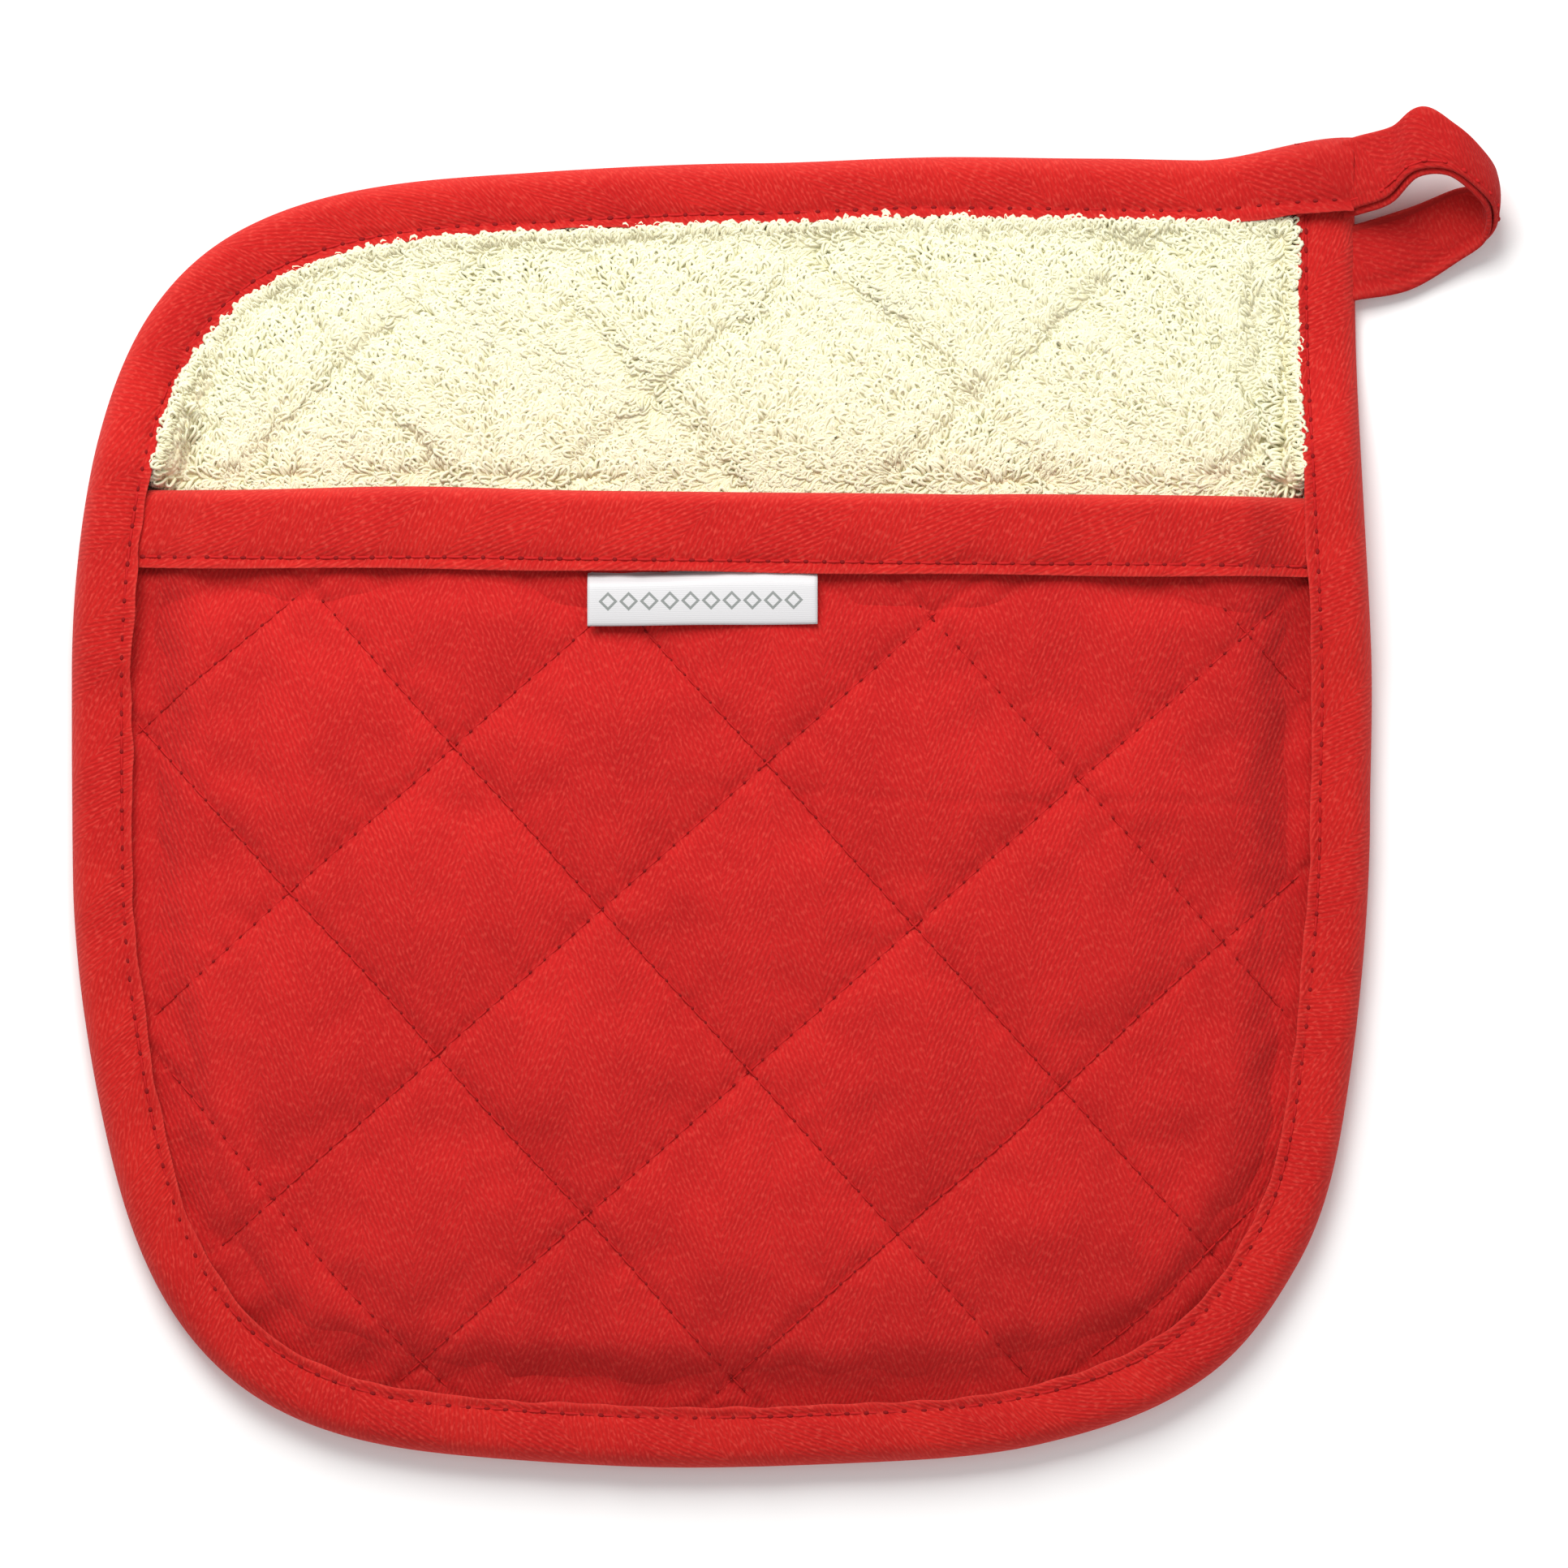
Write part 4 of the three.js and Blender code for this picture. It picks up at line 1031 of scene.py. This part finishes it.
# Adds one node: settings are its properties, and inputs are values or sockets by name or number.
def addNode(tree, kind, inputs=None, **settings):
    made = tree.nodes.new("ShaderNode" + kind)
    for key, value in settings.items():
        setattr(made, key, value)
    for key, value in (inputs or {}).items():
        if isinstance(value, bpy.types.NodeSocket):
            tree.links.new(value, made.inputs[key])
        else:
            made.inputs[key].default_value = value
    return made


# One sum, such as ADD or PINGPONG, of sockets or numbers.
def calc(tree, operation, *values):
    return addNode(tree, "Math", dict(enumerate(values)), operation=operation).outputs[0]


# A blend of two colours, each a socket or a hex name.
def blended(tree, share, first, second):
    colours = [linear(colour) if isinstance(colour, str) else colour for colour in (first, second)]
    return addNode(tree, "MixRGB", {"Fac": share, "Color1": colours[0], "Color2": colours[1]}).outputs[0]


# A value carried in a straight line from start..end to low..high, and held at both ends.
def mapped(tree, value, start=0.0, end=1.0, low=0.0, high=1.0):
    return addNode(tree, "MapRange", {"Value": value, "From Min": start, "From Max": end,
                                      "To Min": low, "To Max": high}).outputs[0]


# The values that a piece carries at its points, by name.
def attribute(tree, name):
    return addNode(tree, "Attribute", attribute_name=name).outputs["Fac"]


# A material with an empty node tree.
def newMaterial(name):
    material = bpy.data.materials.new(name)
    material.use_nodes = True
    material.node_tree.nodes.clear()
    return material, material.node_tree


# Joins colour, bump height (its distance in millimetres) and the other shader values to the output.
def finishMaterial(tree, colour, height, shader, bumpStrength, bumpDistance):
    bump = addNode(tree, "Bump", {"Height": height, "Strength": bumpStrength, "Distance": bumpDistance * mm})
    surface = addNode(tree, "BsdfPrincipled", {"Base Color": colour, "Normal": bump.outputs[0], **shader})
    addNode(tree, "OutputMaterial", {"Surface": surface.outputs[0]})


# Herringbone twill on a vector in millimetres: x is folded at every stripe, and fine ridges run aslant
# along the stripes. A noise stretched along the ridges breaks them into single floats of yarn.
def herringbone(tree, vector, weave):
    axes = addNode(tree, "SeparateXYZ", {0: vector}).outputs
    folded = calc(tree, "PINGPONG", axes[0], weave["stripe"])
    plane = addNode(tree, "CombineXYZ", {0: folded, 1: axes[1]}).outputs[0]
    slant = (0, 0, math.radians(weave["slant"]))
    turned = addNode(tree, "Mapping", {"Vector": plane, "Rotation": slant}).outputs[0]
    ridges = addNode(tree, "TexWave", {"Vector": turned, "Scale": math.pi / 10 / weave["pitch"],
                                       "Distortion": 1.6, "Detail": 1.0, "Detail Scale": 2.0})
    yarns = (1 / weave["width"], 1 / weave["float"], 1)
    stretched = addNode(tree, "Mapping", {"Vector": turned, "Scale": yarns})
    apart = addNode(tree, "CombineXYZ", {2: calc(tree, "SNAP", axes[0], weave["stripe"])}).outputs[0]
    placed = addNode(tree, "VectorMath", {0: stretched.outputs[0], 1: apart}, operation="ADD").outputs[0]
    floats = addNode(tree, "TexNoise", {"Vector": placed, "Scale": 1.0, "Detail": 1.0})
    return ridges.outputs["Fac"], floats.outputs["Fac"]


# Dyed cloth: the hollows between ridges are darker as painted shade, single floats are paler where they are
# rubbed, and the dye is a little uneven over a few centimetres.
def clothColour(tree, coords, ridges, floats, tones):
    mottle = addNode(tree, "TexNoise", {"Vector": coords, "Scale": 1 / 18, "Detail": 4.0, "Roughness": 0.6})
    dyed = blended(tree, mapped(tree, mottle.outputs["Fac"], 0.35, 0.65), tones["dark"], tones["light"])
    hollow = mapped(tree, ridges, 0.0, 0.7, tones["hollowShare"], 0.0)
    rubbed = mapped(tree, floats, 0.5, 0.75, 0.0, tones["rubbedShare"])
    return blended(tree, rubbed, blended(tree, hollow, dyed, tones["hollow"]), tones["rubbed"])


# The cloth's relief: ridges + 0.8 floats.
def clothHeight(tree, ridges, floats):
    return calc(tree, "ADD", ridges, calc(tree, "MULTIPLY", floats, 0.8))


cottonShader = {"Roughness": 0.9, "Sheen Weight": 0.04, "Sheen Roughness": 0.5, "Specular IOR Level": 0.12}


# The place on a piece, in millimetres.
def objectMillimetres(tree):
    place = addNode(tree, "TexCoord").outputs["Object"]
    return addNode(tree, "VectorMath", {0: place, "Scale": 1 / mm}, operation="SCALE").outputs[0]


# Red cotton herringbone twill, piece dyed and washed: soft and matt, with a fine slanting grain that
# changes sides every 8 mm. The ridges are 0.7 mm apart, coarser than the real 0.5, to show.
twillWeave = {"stripe": 8.0, "slant": 22, "pitch": 0.7, "width": 0.36, "float": 0.9}
twillTones = {"dark": "#b81d1d", "light": "#c62221", "hollow": "#921012", "hollowShare": 0.32,
              "rubbed": "#dd4c41", "rubbedShare": 0.42}


def redTwill():
    material, tree = newMaterial("red_cotton_herringbone_twill")
    coords = objectMillimetres(tree)
    ridges, floats = herringbone(tree, coords, twillWeave)
    colour = clothColour(tree, coords, ridges, floats, twillTones)
    finishMaterial(tree, colour, clothHeight(tree, ridges, floats), cottonShader, 0.5, 0.12)
    return material


# The same twill cut on the bias and folded into tape, a touch brighter and pressed smooth. The grain
# turns with the tape's own length, and its folds are paler, partly from wear and partly as a painted highlight.
tapeWeave = {"stripe": 8.0, "slant": 22, "pitch": 0.7, "width": 0.38, "float": 1.0}
# The deep colour is painted shade.
tapeTones = {"dark": "#b71c1b", "light": "#c2221e", "hollow": "#941112", "hollowShare": 0.32,
             "rubbed": "#df5246", "rubbedShare": 0.42, "worn_and_lit": "#e4544a", "deep": "#8f1214"}


def redTape():
    material, tree = newMaterial("red_cotton_bias_tape")
    along = addNode(tree, "UVMap", uv_map="cloth").outputs[0]
    turned = addNode(tree, "Mapping", {"Vector": along, "Rotation": (0, 0, math.radians(45))}).outputs[0]
    ridges, floats = herringbone(tree, turned, tapeWeave)
    colour = clothColour(tree, along, ridges, floats, tapeTones)
    worn_and_lit = mapped(tree, attribute(tree, "wear_and_highlight"), high=0.2)
    faded = blended(tree, worn_and_lit, colour, tapeTones["worn_and_lit"])
    # Painted shade, where the deep attribute is high.
    paintedShade = mapped(tree, attribute(tree, "deep"), high=0.34)
    final = blended(tree, paintedShade, faded, tapeTones["deep"])
    finishMaterial(tree, final, clothHeight(tree, ridges, floats), cottonShader, 0.5, 0.12)
    return material


# Cream cotton terry: soft uncut loops of two-ply yarn, palest at their tips. The root is yellower and a little
# darker as painted shade down between the loops.
def creamTerry():
    material, tree = newMaterial("cream_cotton_terry_loops")
    coords = objectMillimetres(tree)
    ply = addNode(tree, "TexNoise", {"Vector": coords, "Scale": 3.5, "Detail": 2.0})
    alongLoop = blended(tree, attribute(tree, "tip"), "#eae5bf", "#ecebd0")
    colour = blended(tree, mapped(tree, attribute(tree, "tone"), high=0.35), alongLoop, "#e9e5c6")
    finishMaterial(tree, colour, ply.outputs["Fac"],
                   {"Roughness": 0.95, "Sheen Weight": 0.05, "Specular IOR Level": 0.1}, 0.3, 0.05)
    return material


# The terry's ground weave, which shows between the loops and deep in the pocket: small crowded bumps. The
# ground between the bumps is darker as painted shade.
def creamGround():
    material, tree = newMaterial("cream_cotton_terry_ground")
    coords = objectMillimetres(tree)
    knots = addNode(tree, "TexVoronoi", {"Vector": coords, "Scale": 1 / 1.1, "Randomness": 0.9})
    colour = blended(tree, mapped(tree, knots.outputs["Distance"], end=0.7), "#faf6da", "#f4ecc6")
    height = calc(tree, "SUBTRACT", 1.0, knots.outputs["Distance"])
    finishMaterial(tree, colour, height, {"Roughness": 0.95, "Specular IOR Level": 0.2}, 1.0, 0.6)
    return material


# Mercerised cotton sewing thread with a slight lustre: two plies twisted along the stitch.
def sewingThread(name, colour, deep):
    material, tree = newMaterial(name)
    coords = objectMillimetres(tree)
    twist = addNode(tree, "TexNoise", {"Vector": coords, "Scale": 2.4, "Detail": 1.0})
    finishMaterial(tree, blended(tree, twist.outputs["Fac"], colour, deep), twist.outputs["Fac"],
                   {"Roughness": 0.7, "Specular IOR Level": 0.12}, 0.5, 0.05)
    return material


# White woven satin ribbon with folded ends. Its faint cross ribs are 0.35 mm apart, and a plain row of
# open grey lozenges is woven in: |x| + |y| near 1.2 mm from each centre, every 3.2 mm.
def whiteSatin():
    material, tree = newMaterial("white_woven_satin")
    place = addNode(tree, "UVMap", uv_map="cloth").outputs[0]
    ribs = addNode(tree, "TexWave", {"Vector": place, "Scale": 1 / 0.35 / 2, "Distortion": 0.4},
                   bands_direction="Y", wave_profile="SIN")
    axes = addNode(tree, "SeparateXYZ", {0: place}).outputs
    upLozenge = calc(tree, "ABSOLUTE", calc(tree, "SUBTRACT", axes[1], 4.4))
    reach = calc(tree, "ADD", calc(tree, "PINGPONG", axes[0], 1.6), upLozenge)
    lozenge = mapped(tree, calc(tree, "ABSOLUTE", calc(tree, "SUBTRACT", reach, 1.2)), 0.32, 0.24)
    within = calc(tree, "MULTIPLY", mapped(tree, axes[0], 1.4, 1.5), mapped(tree, axes[0], 33.7, 33.6))
    colour = blended(tree, calc(tree, "MULTIPLY", lozenge, within), "#cfced0", "#858987")
    finishMaterial(tree, colour, ribs.outputs["Fac"],
                   {"Roughness": 0.45, "Sheen Weight": 0.1, "Specular IOR Level": 0.45}, 0.35, 0.05)
    return material


print("materials")
twillMaterial, tapeMaterial = redTwill(), redTape()
loopMaterial, groundMaterial = creamTerry(), creamGround()
redThread = sewingThread("red_cotton_thread", "#bf2020", "#ac1a1b")
darkThread = sewingThread("red_cotton_thread_in_shade", "#8f1517", "#761013")
satinMaterial = whiteSatin()


# Nothing sewn is quite regular: round the outline the edge swells out or in by a millimetre or so. Degrees
# from the middle against millimetres.
unevenEdge = {0: 0.2, 15: 0.85, 30: 0.85, 38: 0.9, 47: 0.9, 53: 0.4, 60: 0.7, 70: 0.9, 87: -0.1, 106: -0.6,
              130: 1.4, 149: -0.8, 168: 0.4, 186: 0.3, 207: -1.05, 231: 1.25, 251: -0.25, 267: 0.45, 283: 0,
              297: 0.4, 311: 1.1, 322: 0.1, 337: -1.05, 360: 0.2}


# Moves points along their radius by the swell at their angle, joined by smooth steps, times a smooth step
# from nothing at 45 mm from the middle.
def sewnUneven(points):
    x, y = points[:, 0], points[:, 1]
    angle = np.degrees(np.arctan2(y, x)) % 360
    knots, swell = np.array(list(unevenEdge)), np.array(list(unevenEdge.values()))
    first = np.searchsorted(knots, angle, side="right") - 1
    out = mix(swell[first], swell[first + 1], ease(knots[first], knots[first + 1], angle))
    reach = np.hypot(x, y)
    share = out * ease(45, 98, reach) / np.maximum(reach, 1)
    return np.stack([x * (1 + share), y * (1 + share), points[:, 2]], 1)


# Finishes a piece: its uneven outline, its cloth, and what it stands for.
def dress(piece, material, slot, body="mitt", nodes=()):
    setPoints(piece, sewnUneven(pointsOf(piece)))
    piece.data.materials.clear()
    piece.data.materials.append(material)
    if body:
        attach(piece, body)
    if nodes:
        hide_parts(*nodes)


dress(frontPad, twillMaterial, "twill", nodes=("front_shell", "front_wadding"))
dress(backPad, twillMaterial, "twill", nodes=("back_shell", "back_wadding"))
dress(backLining, groundMaterial, "terry", nodes=("back_lining", "back_quilting_thread"))
dress(frontLining, groundMaterial, "terry", nodes=("front_lining",))
for piece in [*loopPieces, pocketLoops]:
    dress(piece, loopMaterial, "terry")
dress(edgeBinding, tapeMaterial, "tape", nodes=("edge_binding",))
dress(pocketBinding, tapeMaterial, "tape", nodes=("pocket_binding",))
dress(edgeSeam, redThread, "red_thread", nodes=("edge_seam_thread",))
dress(pocketSeam, redThread, "red_thread", nodes=("pocket_seam_thread",))
dress(frontQuilting, redThread, "red_thread", nodes=("front_quilting_thread",))
dress(backQuilting, redThread, "red_thread")
# Painted shade: the needle holes get the darker thread colour, for the shade in each hole.
for piece in (edgeHoles, pocketHoles, frontHoles):
    dress(piece, darkThread, "red_thread")
for piece, material, slot, nodes in ((hangingLoop, tapeMaterial, "tape", ("hanging_loop",)),
                                     (loopSeam, redThread, "red_thread", ("loop_seam_thread",)),
                                     (loopHoles, redThread, "red_thread", ())):
    dress(piece, material, slot, None, nodes)
    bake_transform(piece)
dress(wovenLabel, satinMaterial, "label", None, ("label",))
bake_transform(wovenLabel)


print("studio")
floorMesh = bpy.data.meshes.new("floor")
floorMesh.from_pydata([(-3, -3, 0), (3, -3, 0), (3, 3, 0), (-3, 3, 0)], [], [(0, 1, 2, 3)])
floor = bpy.data.objects.new("floor", floorMesh)
bpy.context.scene.collection.objects.link(floor)
floorMaterial, tree = newMaterial("white_paper_sweep")
paper = addNode(tree, "TexNoise", {"Scale": 60.0, "Detail": 2.0})
paperColour = blended(tree, paper.outputs["Fac"], "#fbfbfb", "#fdfdfd")
finishMaterial(tree, paperColour, paper.outputs["Fac"], {"Roughness": 0.9}, 0.02, 0.05)
floorMesh.materials.append(floorMaterial)

world = bpy.data.worlds.new("studio")
bpy.context.scene.world = world
world.use_nodes = True
world.node_tree.nodes["Background"].inputs[0].default_value = (1, 1, 1, 1)
world.node_tree.nodes["Background"].inputs[1].default_value = 0.52


# A square area light that faces the mitt.
def addLight(name, place, size, power, tint):
    lamp = bpy.data.lights.new(name, "AREA")
    lamp.shape, lamp.size, lamp.energy, lamp.color = "SQUARE", size, power, tint
    light = bpy.data.objects.new(name, lamp)
    light.location = place
    light.rotation_euler = (-Vector(place)).to_track_quat("-Z", "Y").to_euler()
    bpy.context.scene.collection.objects.link(light)


addLight("softbox", (-0.15, 0.58, 0.62), 0.5, 8.0, (1.0, 0.99, 0.97))
addLight("fill", (0.6, -0.9, 1.1), 0.9, 2.0, (0.97, 0.98, 1.0))

# The camera looks straight down with a long lens.
view = {"centreX": 9.8, "centreY": 4.6, "width": 244.7, "height": 1.6}
camera = bpy.data.cameras.new("camera")
camera.sensor_width = 36
camera.lens = camera.sensor_width * (view["height"] - cadHigh.z / 2) / (view["width"] * mm)
camera.clip_start, camera.clip_end = 0.05, 20
cameraObject = bpy.data.objects.new("camera", camera)
cameraObject.location = (view["centreX"] * mm, view["centreY"] * mm, view["height"])
bpy.context.scene.collection.objects.link(cameraObject)
bpy.context.scene.camera = cameraObject
bpy.context.scene.view_settings.view_transform = "Standard"

print("cad", [round(v * 1000, 1) for v in (*cadLow, *cadHigh)])
